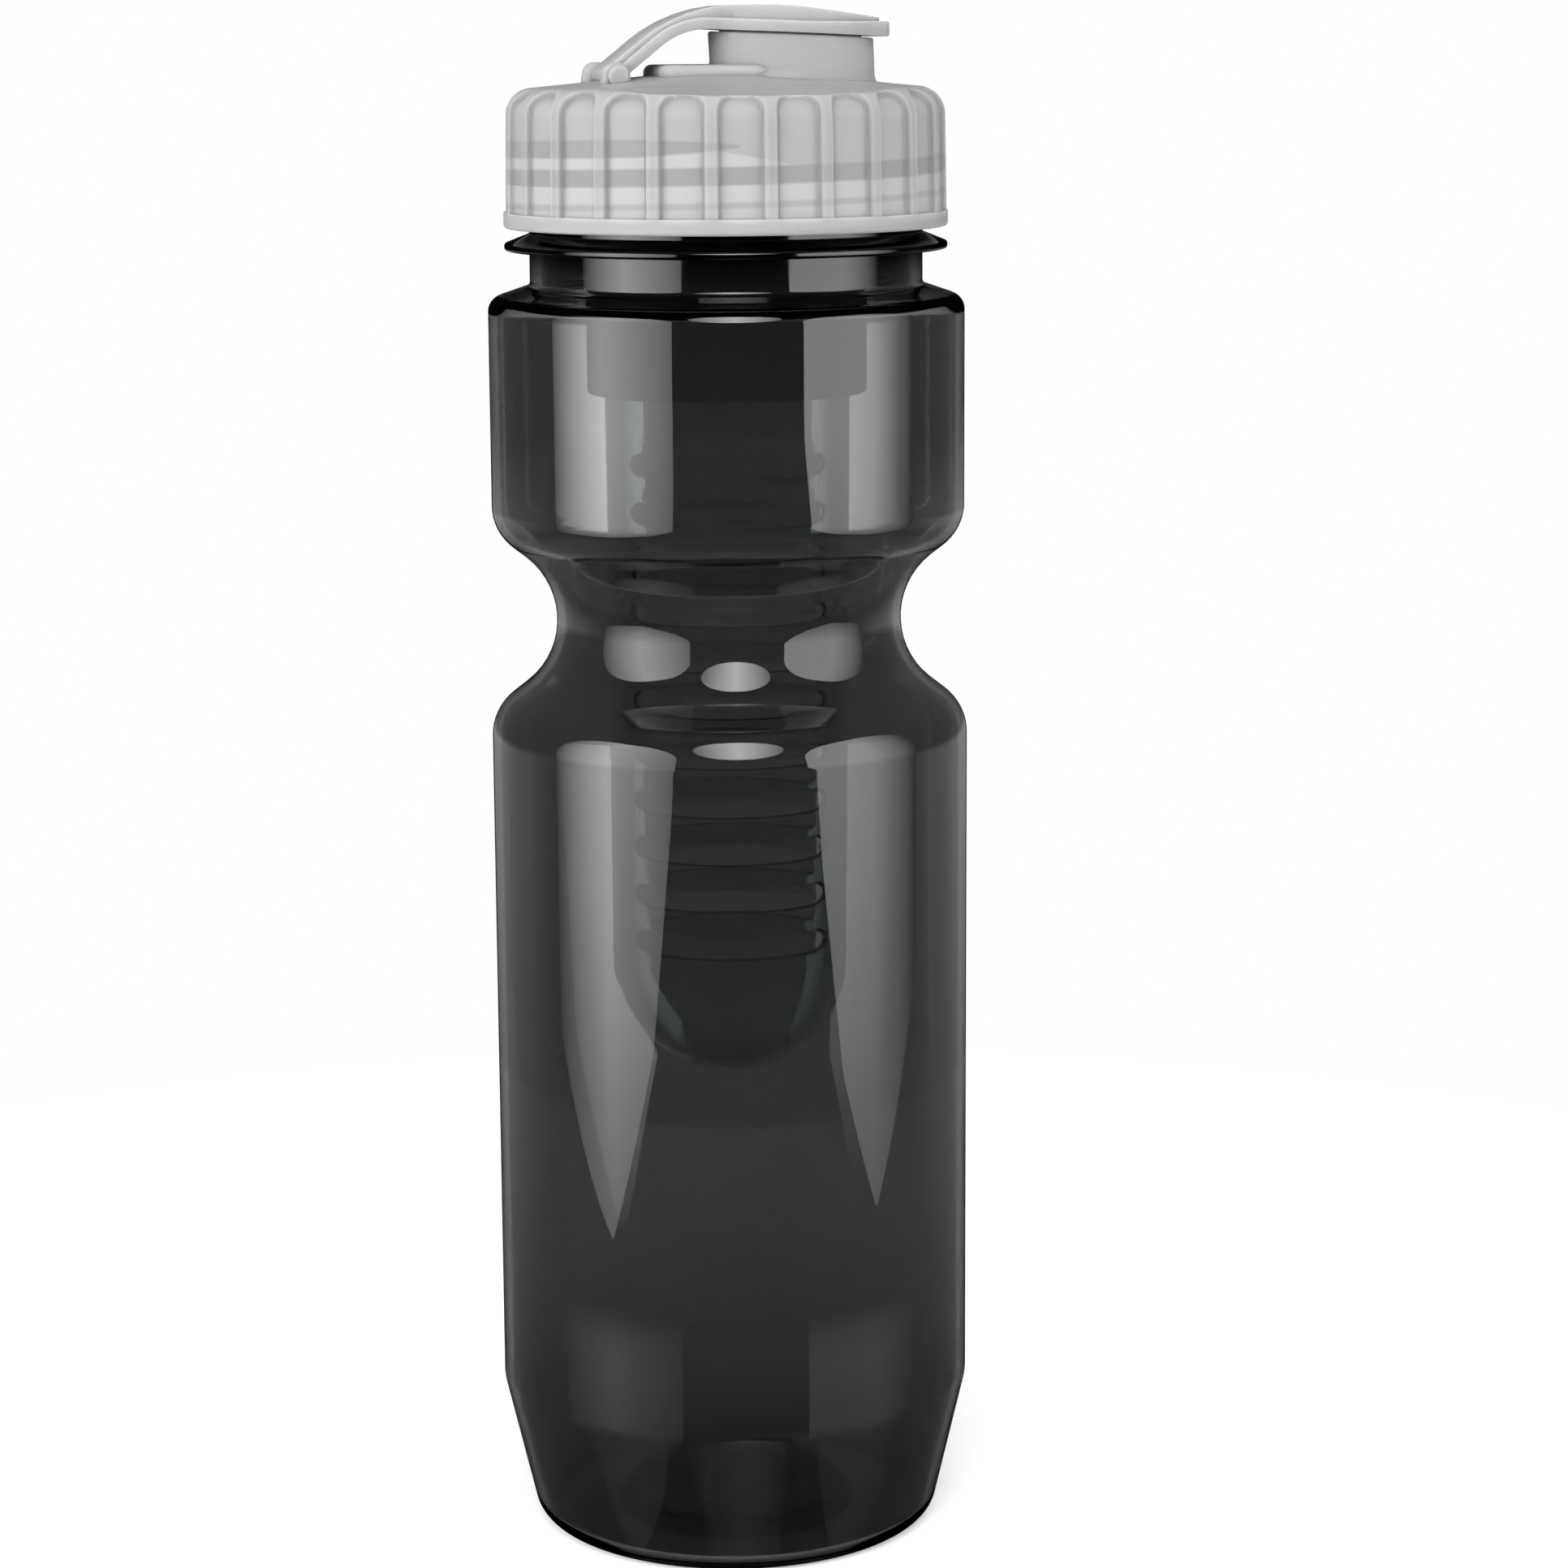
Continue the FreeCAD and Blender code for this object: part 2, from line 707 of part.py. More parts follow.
infuser_collar = turned(
    "infuser_collar",
    [
        ("tube_bore", "collar_bottom"),
        ("collar_radius", "collar_bottom", "collar_round"),
        ("collar_radius", "collar_top", "collar_round"),
        ("collar_bore", "collar_top"),
        ("collar_bore", "collar_ledge"),
        ("tube_bore", "collar_ledge"),
    ],
)

# Infuser tube: straight in the collar, tapered below it to a round end, with slots through front and back.

def tube_face(inset):
    """Corners of one face of the tube's wall, from the round end up."""
    end_round = f"(tube_end_radius - {inset}) * {TUBE_END_SHARE}"
    return [
        ("0", f"tube_end_height - tube_end_radius + {inset}"),
        (f"tube_end_radius - {inset}", f"tube_end_height - tube_end_radius + {inset}", end_round),
        (f"tube_radius - {inset}", "collar_bottom"),
        (f"tube_radius - {inset}", "tube_top"),
    ]


infuser_tube = turned("infuser_tube", [*tube_face("0"), *reversed(tube_face("tube_wall"))])
slot_end = f"slot_height * {SLOT_ROUND_SHARE}"
slot_sketch = outline(
    infuser_tube,
    "slot_outline",
    "XZ_Plane",
    [
        ("-slot_reach", "slot_first - slot_height / 2", slot_end),
        ("slot_reach", "slot_first - slot_height / 2", slot_end),
        ("slot_reach", "slot_first + slot_height / 2", slot_end),
        ("-slot_reach", "slot_first + slot_height / 2", slot_end),
    ],
)
slot = infuser_tube.newObject("PartDesign::Pocket", "slot")
slot.Profile = slot_sketch
slot.Midplane = True
slot.setExpression("Length", bound("2 * (tube_radius + overrun)"))
slots = infuser_tube.newObject("PartDesign::LinearPattern", "slots")
slots.Originals = [slot]
slots.Direction = (slot_sketch, ["V_Axis"])
slots.setExpression("Length", bound("slot_pitch * (slot_count - 1)"))
slots.setExpression("Occurrences", bound("slot_count"))
infuser_tube.Tip = slots
infuser_tube.Placement.Rotation = FreeCAD.Rotation(FreeCAD.Vector(0, 0, 1), value("infuser_turn"))

doc.recompute()
sub_parts = [bottle, lid, lid_gasket, flip_strap, infuser_collar, infuser_tube]
failed = [item.Name for item in doc.Objects if {"Invalid", "Error"} & set(item.State)]
failed += [item.Label for item in sub_parts if item.Shape.isNull() or not item.Shape.isValid()]
if failed:
    raise RuntimeError("not built: " + ", ".join(failed))
os.makedirs("parts", exist_ok=True)
for item in sub_parts:
    item.Shape.exportStep(f"parts/{item.Label}.step")
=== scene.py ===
from math import acos, asin, atan2, ceil, cos, hypot, pi, radians, sin, tan

import bmesh
import bpy
from bpy.props import FloatProperty, FloatVectorProperty, IntProperty, PointerProperty
from mathutils import Matrix, Vector


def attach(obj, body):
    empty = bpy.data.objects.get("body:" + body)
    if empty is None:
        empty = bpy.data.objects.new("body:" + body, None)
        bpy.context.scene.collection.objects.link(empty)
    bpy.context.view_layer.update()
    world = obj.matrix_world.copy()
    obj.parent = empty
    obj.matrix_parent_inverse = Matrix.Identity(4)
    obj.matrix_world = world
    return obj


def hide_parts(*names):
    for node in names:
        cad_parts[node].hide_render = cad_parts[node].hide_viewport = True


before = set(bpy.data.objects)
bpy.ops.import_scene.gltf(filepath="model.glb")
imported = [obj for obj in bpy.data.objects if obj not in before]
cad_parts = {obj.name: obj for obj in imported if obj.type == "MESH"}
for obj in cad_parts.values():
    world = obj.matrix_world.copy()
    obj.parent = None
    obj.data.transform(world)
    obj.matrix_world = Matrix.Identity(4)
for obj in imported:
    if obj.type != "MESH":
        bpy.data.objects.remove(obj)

bl_info = {
    "name": "Fruit infuser water bottle",
    "version": (1, 0, 0),
    "blender": (4, 5, 0),
    "location": "View3D > Sidebar > Infuser bottle",
    "description": "Builds a tinted sports bottle with a frosted flip lid and a fruit infuser",
    "category": "Add Mesh",
}

MM = 0.001
FULL_TURN = 2 * pi
UP = Vector((0, 0, 1))
# Fineness of turned pieces and of rounded corners
TURN_STEPS = 192
ROUND_STEP = radians(7)
# Places closer than this are one place
NEAR = 0.0005 * MM
# How far pieces of one part, and a thread's root, reach into each other
OVERLAP = 1.0 * MM
SUNK_ROOT = 0.2 * MM
# How far the strap's stamp and side view reach past the strap
STAMP_MARGIN = 2 * MM
# Share of a full half round that still leaves two separate arcs
FULL_ROUND = 0.96
# A face whose normal rises more than this is nearly level
LEVEL = 0.9
# Threads are shaded smooth up to this angle, in degrees
THREAD_SMOOTH = 40


# Sizes and colours


def linear(code):
    """The scene's linear colour of an sRGB hex code."""
    parts = [int(code[place:place + 2], 16) / 255 for place in (1, 3, 5)]
    return tuple(part / 12.92 if part <= 0.04045 else ((part + 0.055) / 1.055) ** 2.4 for part in parts)


def length(label, millimetres, description):
    return FloatProperty(name=label, description=description, default=millimetres * MM, unit="LENGTH")


def angle(label, degrees, description):
    value = radians(degrees)
    return FloatProperty(name=label, description=description, default=value, subtype="ANGLE")


def colour(label, code, description):
    return FloatVectorProperty(
        name=label, description=description, default=linear(code), size=3, min=0, max=1, subtype="COLOR"
    )


class BottleSizes(bpy.types.PropertyGroup):
    """Sizes of the tinted bottle"""

    body_radius: length("Body radius", 37.0, "Outside of the lower body")
    upper_radius: length("Upper radius", 36.5, "Outside above the grip waist")
    foot_radius: length("Foot radius", 31.55, "Where the tapered foot meets the floor")
    taper_height: length("Taper height", 23.3, "Where the tapered foot ends")
    waist_bottom: length("Waist bottom", 130.61, "Where the lower body turns into the waist")
    waist_height: length("Waist height", 145.0, "Narrowest place of the grip waist")
    waist_top: length("Waist top", 159.0, "Where the waist turns into the upper body")
    shoulder_height: length("Shoulder height", 194.3, "Top of the upper body")
    neck_radius: length("Neck radius", 30.05, "Outside of the neck below the thread")
    bead_height: length("Bead height", 201.8, "Underside of the bead")
    lip_height: length("Lip height", 220.9, "Top of the neck")
    body_wall: length("Body wall", 1.3, "Wall of the body")
    neck_wall: length("Neck wall", 1.8, "Wall of the neck and floor")
    thread_pitch: length("Thread pitch", 4.23, "Rise of the neck's thread in one turn")
    thread_depth: length("Thread depth", 1.2, "How far the thread stands off the neck")
    thread_end: length("Thread end", 218.05, "Height where the thread runs out")
    thread_angle: angle("Thread angle", -97.0, "Where round the neck the thread runs out")


class LidSizes(bpy.types.PropertyGroup):
    """Sizes of the screw lid with its spout and hinge ears"""

    bore: length("Bore", 31.5, "Inside of the skirt")
    flange_radius: length("Flange radius", 33.9, "Outside of the bottom flange")
    flange_bottom: length("Flange bottom", 205.2, "Lower edge of the lid")
    flange_top: length("Flange top", 207.6, "Where the panels start")
    skirt_radius: length("Skirt radius", 33.7, "Outside of the ribs at the flange")
    edge_radius: length("Edge radius", 33.4, "Outside of the ribs at the top edge")
    edge_height: length("Edge height", 225.75, "Top edge of the lid")
    edge_round: length("Edge rounding", 4.2, "Rounding of the top edge")
    apex: length("Apex", 229.0, "Middle of the shallow cone on top")
    top_wall: length("Top wall", 2.3, "Wall of the cone")
    ceiling: length("Ceiling", 223.4, "Underside that the gasket lies on")
    ring_bottom: length("Ring bottom", 203.0, "Lower end of the inner ring that the infuser's collar runs on")
    scoop_start: length("Scoop start", 11.0, "Where the scoop on each side of the top starts")
    panel_count: IntProperty(name="Panels", description="Arched panels round the lid", default=24, min=3)
    panel_width: length("Panel width", 6.5, "Width of one panel")
    panel_depth: length("Panel depth", 1.0, "How far a panel lies behind the ribs")
    panel_top: length("Panel top", 225.7, "Top of a panel's arch")
    spout_offset: length("Spout offset", 10.3, "Axis of the spout, from the lid's axis")
    spout_radius: length("Spout radius", 12.6, "Outside of the spout")
    spout_wall: length("Spout wall", 1.5, "Wall of the spout")
    spout_rim: length("Spout rim", 233.87, "Height of the slanted rim at the spout's axis")
    rim_slope: angle("Rim slope", 2.6, "Slant of the rim and the strap")
    pour_radius: length("Pouring hole", 7.4, "Hole through the lid inside the spout")
    hinge_offset: length("Hinge offset", 18.3, "Hinge axis, from the lid's axis")
    hinge_height: length("Hinge height", 228.0, "Height of the hinge axis")
    ear_gap: length("Ear gap", 14.0, "Between the two ears")
    ear_thickness: length("Ear thickness", 3.0, "Thickness of an ear")


class StrapSizes(bpy.types.PropertyGroup):
    """Sizes of the strap that closes the spout"""

    underside: length("Underside", 234.6, "Height of the underside at the lid's axis")
    rise: angle("Rise", 38.7, "Slope of the part next to the hinge")
    heel_radius: length("Heel radius", 1.3, "Half of the strap's thickness at the hinge")
    plate: length("Plate", 1.7, "Thickness of the lower plate")
    crown: length("Crown", 238.35, "Highest place")
    band_inset: length("Band inset", 1.3, "How far the raised band lies inside the plate")
    tab_reach: length("Tab reach", 24.7, "End of the thumb tab")
    tab_thickness: length("Tab thickness", 2.3, "Thickness of the thumb tab")
    tab_width: length("Tab width", 11.4, "Width of the thumb tab")
    disc_radius: length("Disc radius", 13.3, "The round part over the spout")


class InfuserSizes(bpy.types.PropertyGroup):
    """Sizes of the collar and the slotted tube"""

    collar_radius: length("Collar radius", 21.5, "Outside of the collar")
    collar_bottom: length("Collar bottom", 180.0, "Lower end of the collar")
    collar_top: length("Collar top", 222.9, "Upper end of the collar")
    tube_radius: length("Tube radius", 18.88, "Outside of the tube in the collar")
    tube_top: length("Tube top", 201.6, "Upper end of the tube")
    tube_wall: length("Tube wall", 1.5, "Wall of the tube")
    end_radius: length("End radius", 17.95, "Round lower end of the tube")
    end_height: length("End height", 91.1, "Where the round end starts")
    slot_reach: length("Slot reach", 14.1, "Half of a slot's width")
    slot_height: length("Slot height", 3.6, "Height of a slot")
    slot_first: length("First slot", 96.0, "Height of the lowest slot")
    slot_pitch: length("Slot pitch", 7.4, "From one slot to the next")
    slot_count: IntProperty(name="Slots", description="Slots on each side of the tube", default=11, min=1)
    turn: angle("Turn", -11.5, "Where round the bottle the slots face")


class Finish(bpy.types.PropertyGroup):
    """Colours of the object and of the studio"""

    smoke: colour("Smoke", "#6d6d6d", "Tint of one wall of the body")
    smoke_thick: colour("Smoke, thick", "#161616", "Tint of one wall of the thicker neck and floor")
    frosted: colour("Frosted", "#8e8e8e", "Frosted lid and strap")
    # Painted shade: dark bands where the neck's thread shows through the lid, also darker ribs and scoops
    frosted_painted_shade: colour("Frosted, dark", "#808080", "Lid where the neck's thread shows through")
    # Painted light: paler bands between the thread's turns and below the topmost band
    frosted_painted_light: colour("Frosted, pale", "#9b9b9b", "Lid between the turns of the thread")
    # Painted shade along the edges of the lid's ribs, where the rib walls fall into shade
    frosted_painted_edge_shade: colour("Frosted, edge", "#626262", "Edges of the lid's ribs")
    collar: colour("Collar", "#a3a9a5", "Frosted collar")
    clear: colour("Clear", "#dbe4df", "Clear infuser tube")
    # Painted shade on the cut walls of the tube's slots, seen as dark outlines
    clear_painted_edge_shade: colour("Clear, edge", "#1e2623", "Cut edges of the tube's slots")
    silicone: colour("Silicone", "#d9d6cf", "Gasket")
    floor: colour("Floor", "#f2f2f2", "Studio floor")
    studio: colour("Studio", "#0b0b0b", "Dark studio that the bottle mirrors")


class InfuserBottle(bpy.types.PropertyGroup):
    """All that the sidebar shows"""

    bottle: PointerProperty(type=BottleSizes, name="Bottle", description="Sizes of the bottle")
    lid: PointerProperty(type=LidSizes, name="Lid", description="Sizes of the lid")
    strap: PointerProperty(type=StrapSizes, name="Strap", description="Sizes of the strap")
    infuser: PointerProperty(type=InfuserSizes, name="Infuser", description="Sizes of the infuser")
    finish: PointerProperty(type=Finish, name="Finish", description="Colours")


# Modelling steps that several pieces share


def only(piece):
    """Makes one object the only selected and active one."""
    bpy.ops.object.select_all(action="DESELECT")
    piece.select_set(True)
    bpy.context.view_layer.objects.active = piece


def opened(piece):
    """Opens a piece in edit mode with all of it selected."""
    only(piece)
    bpy.ops.object.mode_set(mode="EDIT")
    bpy.ops.mesh.select_all(action="SELECT")


def closed_up():
    """Merges doubles, turns the faces outwards and leaves edit mode."""
    bpy.ops.mesh.select_mode(type="VERT")
    bpy.ops.mesh.select_all(action="SELECT")
    bpy.ops.mesh.remove_doubles(threshold=NEAR)
    bpy.ops.mesh.normals_make_consistent(inside=False)
    bpy.ops.object.mode_set(mode="OBJECT")


def pick(piece, passes, kind="VERT"):
    """Selects the vertices or edges in edit mode whose middle passes a test."""
    bpy.ops.mesh.select_mode(type=kind)
    bpy.ops.mesh.select_all(action="DESELECT")
    mesh = bmesh.from_edit_mesh(piece.data)
    if kind == "VERT":
        for vertex in mesh.verts:
            vertex.select_set(passes(vertex.co))
    else:
        for edge in mesh.edges:
            start, end = edge.verts
            edge.select_set(passes((start.co + end.co) / 2))
    bmesh.update_edit_mesh(piece.data)


def side(x, z, rounding=0.0):
    """A corner in the upright plane through the axis."""
    return Vector((x, 0, z)), rounding


def plan(x, y, rounding=0.0):
    """A corner in the level plane."""
    return Vector((x, y, 0)), rounding


def doubled(half):
    """A level outline from the corners of one half and their mirror images."""
    corners = [plan(x, -y, rounding) for x, y, rounding in half]
    return corners + [plan(x, y, rounding) for x, y, rounding in reversed(half)]


def traced(name, corners, closed):
    """Draws an outline from corner to corner and rounds its corners; stays in edit mode."""
    bpy.ops.mesh.primitive_plane_add(size=MM)
    piece = bpy.context.object
    piece.name = piece.data.name = name
    places = [place for place, rounding in corners]
    opened(piece)
    bpy.ops.mesh.merge(type="CENTER")
    bpy.ops.transform.translate(value=places[0])
    for start, end in zip(places, places[1:]):
        bpy.ops.mesh.extrude_region_move(TRANSFORM_OT_translate={"value": end - start})
    if closed:
        ends = (places[0], places[-1])
        pick(piece, lambda place: min((place - end).length for end in ends) < NEAR)
        bpy.ops.mesh.edge_face_add()
    for index, (here, rounding) in enumerate(corners):
        if not rounding:
            continue
        before = places[index - 1]
        after = places[(index + 1) % len(places)]
        half = (before - here).angle(after - here) / 2
        turn_half = pi / 2 - half
        # The square of this is the bevel's profile that makes a round arc
        middle = 1 - 1 / (2 * (1 + cos(turn_half)))
        pick(piece, lambda place: (place - here).length < NEAR)
        bpy.ops.mesh.bevel(
            offset_type="OFFSET",
            offset=rounding / tan(half),
            segments=max(3, ceil(2 * turn_half / ROUND_STEP)),
            profile=middle * middle,
            affect="VERTICES",
            clamp_overlap=False,
        )
    bpy.ops.mesh.select_all(action="SELECT")
    bpy.ops.mesh.remove_doubles(threshold=NEAR)
    return piece


def modified(piece, kind, **settings):
    """Adds a modifier, sets it and applies it."""
    only(piece)
    modifier = piece.modifiers.new(kind.lower(), kind)
    for setting, value in settings.items():
        setattr(modifier, setting, value)
    bpy.ops.object.modifier_apply(modifier=modifier.name)


def repeated(piece, count):
    """Copies a sector round the upright axis until it closes."""
    bpy.ops.object.empty_add()
    guide = bpy.context.object
    guide.rotation_euler.z = FULL_TURN / count
    bpy.context.view_layer.update()
    modified(
        piece, "ARRAY", count=count, use_relative_offset=False, use_object_offset=True, offset_object=guide
    )
    bpy.data.objects.remove(guide, do_unlink=True)
    opened(piece)
    closed_up()


def turned(name, corners, closed=False, steps=TURN_STEPS):
    """Spins an outline round the upright axis, one eighth at first and then all round."""
    piece = traced(name, corners, closed)
    bpy.ops.mesh.spin(steps=steps // 8, angle=FULL_TURN / 8, center=(0, 0, 0), axis=UP)
    closed_up()
    repeated(piece, 8)
    return piece


def rod(name, radius, bottom, top, steps, rounding=0.0):
    """A round upright bar on the axis, whose top edge may be rounded."""
    corners = [side(0, bottom), side(radius, bottom), side(radius, top, rounding), side(0, top)]
    return turned(name, corners, steps=steps)


def prism(name, corners, reach, start=Vector()):
    """Fills an outline and draws it out along reach."""
    piece = traced(name, corners, True)
    bpy.ops.mesh.edge_face_add()
    bpy.ops.transform.translate(value=start)
    bpy.ops.mesh.extrude_region_move(TRANSFORM_OT_translate={"value": reach})
    closed_up()
    return piece


def moved(piece, step=(0, 0, 0), turn=0.0, axis="Z"):
    """Turns the whole mesh about the origin and moves it, while the object stays at the origin."""
    opened(piece)
    bpy.ops.transform.rotate(value=turn, orient_axis=axis, center_override=(0, 0, 0))
    bpy.ops.transform.translate(value=step)
    bpy.ops.object.mode_set(mode="OBJECT")


def combined(piece, tool, operation):
    """Adds, cuts or intersects a piece with another one, which is used up."""
    modified(piece, "BOOLEAN", operation=operation, object=tool, solver="MANIFOLD")
    bpy.data.objects.remove(tool, do_unlink=True)


def on_both_sides(piece):
    """Adds the mirror image of a piece across the upright plane through the hinge and the spout."""
    modified(piece, "MIRROR", use_axis=(False, True, False), use_mirror_merge=False)


def soft_edges(piece, width, segments, sharp):
    """Rounds the edges of a piece that are sharper than an angle in degrees."""
    modified(
        piece,
        "BEVEL",
        width=width,
        segments=segments,
        limit_method="ANGLE",
        angle_limit=radians(sharp),
        use_clamp_overlap=True,
        harden_normals=False,
    )


def handed_in(piece, body, node, material, smooth_angle=30):
    """Shades a finished piece and ties it to the CAD part that it stands for."""
    only(piece)
    bpy.ops.object.shade_smooth_by_angle(angle=radians(smooth_angle))
    piece.data.materials.clear()
    piece.data.materials.append(material)
    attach(piece, body)
    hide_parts(node)


def helix(name, corners, pitch, turns, start_angle, root):
    """Screws a small outline up round the axis and lets both ends run out into the wall."""
    turn_steps = 96
    steps = int(turn_steps * turns)
    fade_turns = 0.14
    least = 0.03
    piece = traced(name, corners, True)
    bpy.ops.object.mode_set(mode="OBJECT")
    moved(piece, turn=-start_angle)
    modified(
        piece,
        "SCREW",
        angle=FULL_TURN * turns,
        screw_offset=pitch * turns,
        steps=steps,
        render_steps=steps,
        use_merge_vertices=False,
        use_smooth_shade=True,
    )
    middle = sum(place.z for place, rounding in corners) / len(corners)
    for vertex in piece.data.vertices:
        radius = hypot(vertex.co.x, vertex.co.y)
        here = (atan2(vertex.co.y, vertex.co.x) - start_angle) / FULL_TURN
        climbed = (vertex.co.z - middle) / pitch
        turn = round(climbed - here) + here
        fade = max(least, min(1.0, turn / fade_turns, (turns - turn) / fade_turns))
        kept = root + (radius - root) * sin(fade * pi / 2)
        vertex.co.x *= kept / radius
        vertex.co.y *= kept / radius
    opened(piece)
    bpy.ops.mesh.fill_holes(sides=0)
    closed_up()
    return piece


def thread(name, sizes, turns, foot, root, crest, root_half, crest_half, rounding):
    """A screw thread of the bottle's pitch, whose section narrows from its root to its crest."""
    ridge = [
        side(root, foot - root_half),
        side(crest, foot - crest_half, rounding),
        side(crest, foot + crest_half, rounding),
        side(root, foot + root_half),
    ]
    return helix(name, ridge, sizes.thread_pitch, turns, sizes.thread_angle - FULL_TURN * turns, root)


# Materials


def feed(socket, value):
    """Sets an input to a plain value, or links it to a result or to a node's first open result."""
    if isinstance(value, bpy.types.Node):
        value = next(result for result in value.outputs if result.enabled)
    if isinstance(value, bpy.types.NodeSocket):
        socket.id_data.links.new(value, socket)
    else:
        socket.default_value = value


def add_node(tree, kind, *values, **settings):
    """Adds a shader node, sets its properties, and sets or links its open inputs in order."""
    node = tree.nodes.new("ShaderNode" + kind)
    for setting, value in settings.items():
        setattr(node, setting, value)
    open_inputs = [socket for socket in node.inputs if socket.enabled]
    for socket, value in zip(open_inputs, values):
        feed(socket, value)
    return node


def axes_of(tree):
    """X, Y and Z of the object's own place, in metres."""
    place = add_node(tree, "TexCoord").outputs["Object"]
    return add_node(tree, "SeparateXYZ", place).outputs


def new_material(name, **sockets):
    """A material with one shader, whose plain values are set on its sockets."""
    material = bpy.data.materials.new(name)
    material.use_nodes = True
    tree = material.node_tree
    shader = tree.nodes["Principled BSDF"]
    for socket, value in sockets.items():
        shader.inputs[socket.replace("_", " ")].default_value = value
    return material, tree, shader


def rgba(value):
    return (*value, 1.0)


def smoke_copolyester(finish, sizes):
    """Smoke-tinted clear plastic: mirror-glossy and see-through, darker in the neck and towards the floor."""
    polish = 0.006
    neck_dullness = 0.08
    floor_share = 0.55
    material, tree, shader = new_material(
        "smoke_copolyester", IOR=1.57, Transmission_Weight=1.0, Specular_IOR_Level=0.7
    )
    height = axes_of(tree)["Z"]
    neck = add_node(tree, "MapRange", height, sizes.shoulder_height, sizes.bead_height)
    floor = add_node(
        tree, "MapRange", height, 0.0, 2 * sizes.taper_height, 1.0, 0.0, interpolation_type="SMOOTHSTEP"
    )
    floor = add_node(tree, "Math", floor, floor_share, operation="MULTIPLY")
    thick = add_node(tree, "Math", neck, floor, operation="MAXIMUM")
    tint = add_node(tree, "Mix", thick, rgba(finish.smoke), rgba(finish.smoke_thick), data_type="RGBA")
    dullness = add_node(tree, "Math", neck, neck_dullness, polish, operation="MULTIPLY_ADD")
    feed(shader.inputs["Base Color"], tint)
    feed(shader.inputs["Roughness"], dullness)
    return material


def frosted_polypropylene(name, tone):
    """Frosted white plastic: matt, lets light soak through, with a soft sheen."""
    return new_material(
        name,
        Base_Color=rgba(tone),
        Roughness=0.42,
        IOR=1.49,
        Subsurface_Weight=0.85,
        Subsurface_Radius=(5.0, 5.0, 5.0),
        Subsurface_Scale=MM,
        Specular_IOR_Level=0.1,
    )[0]


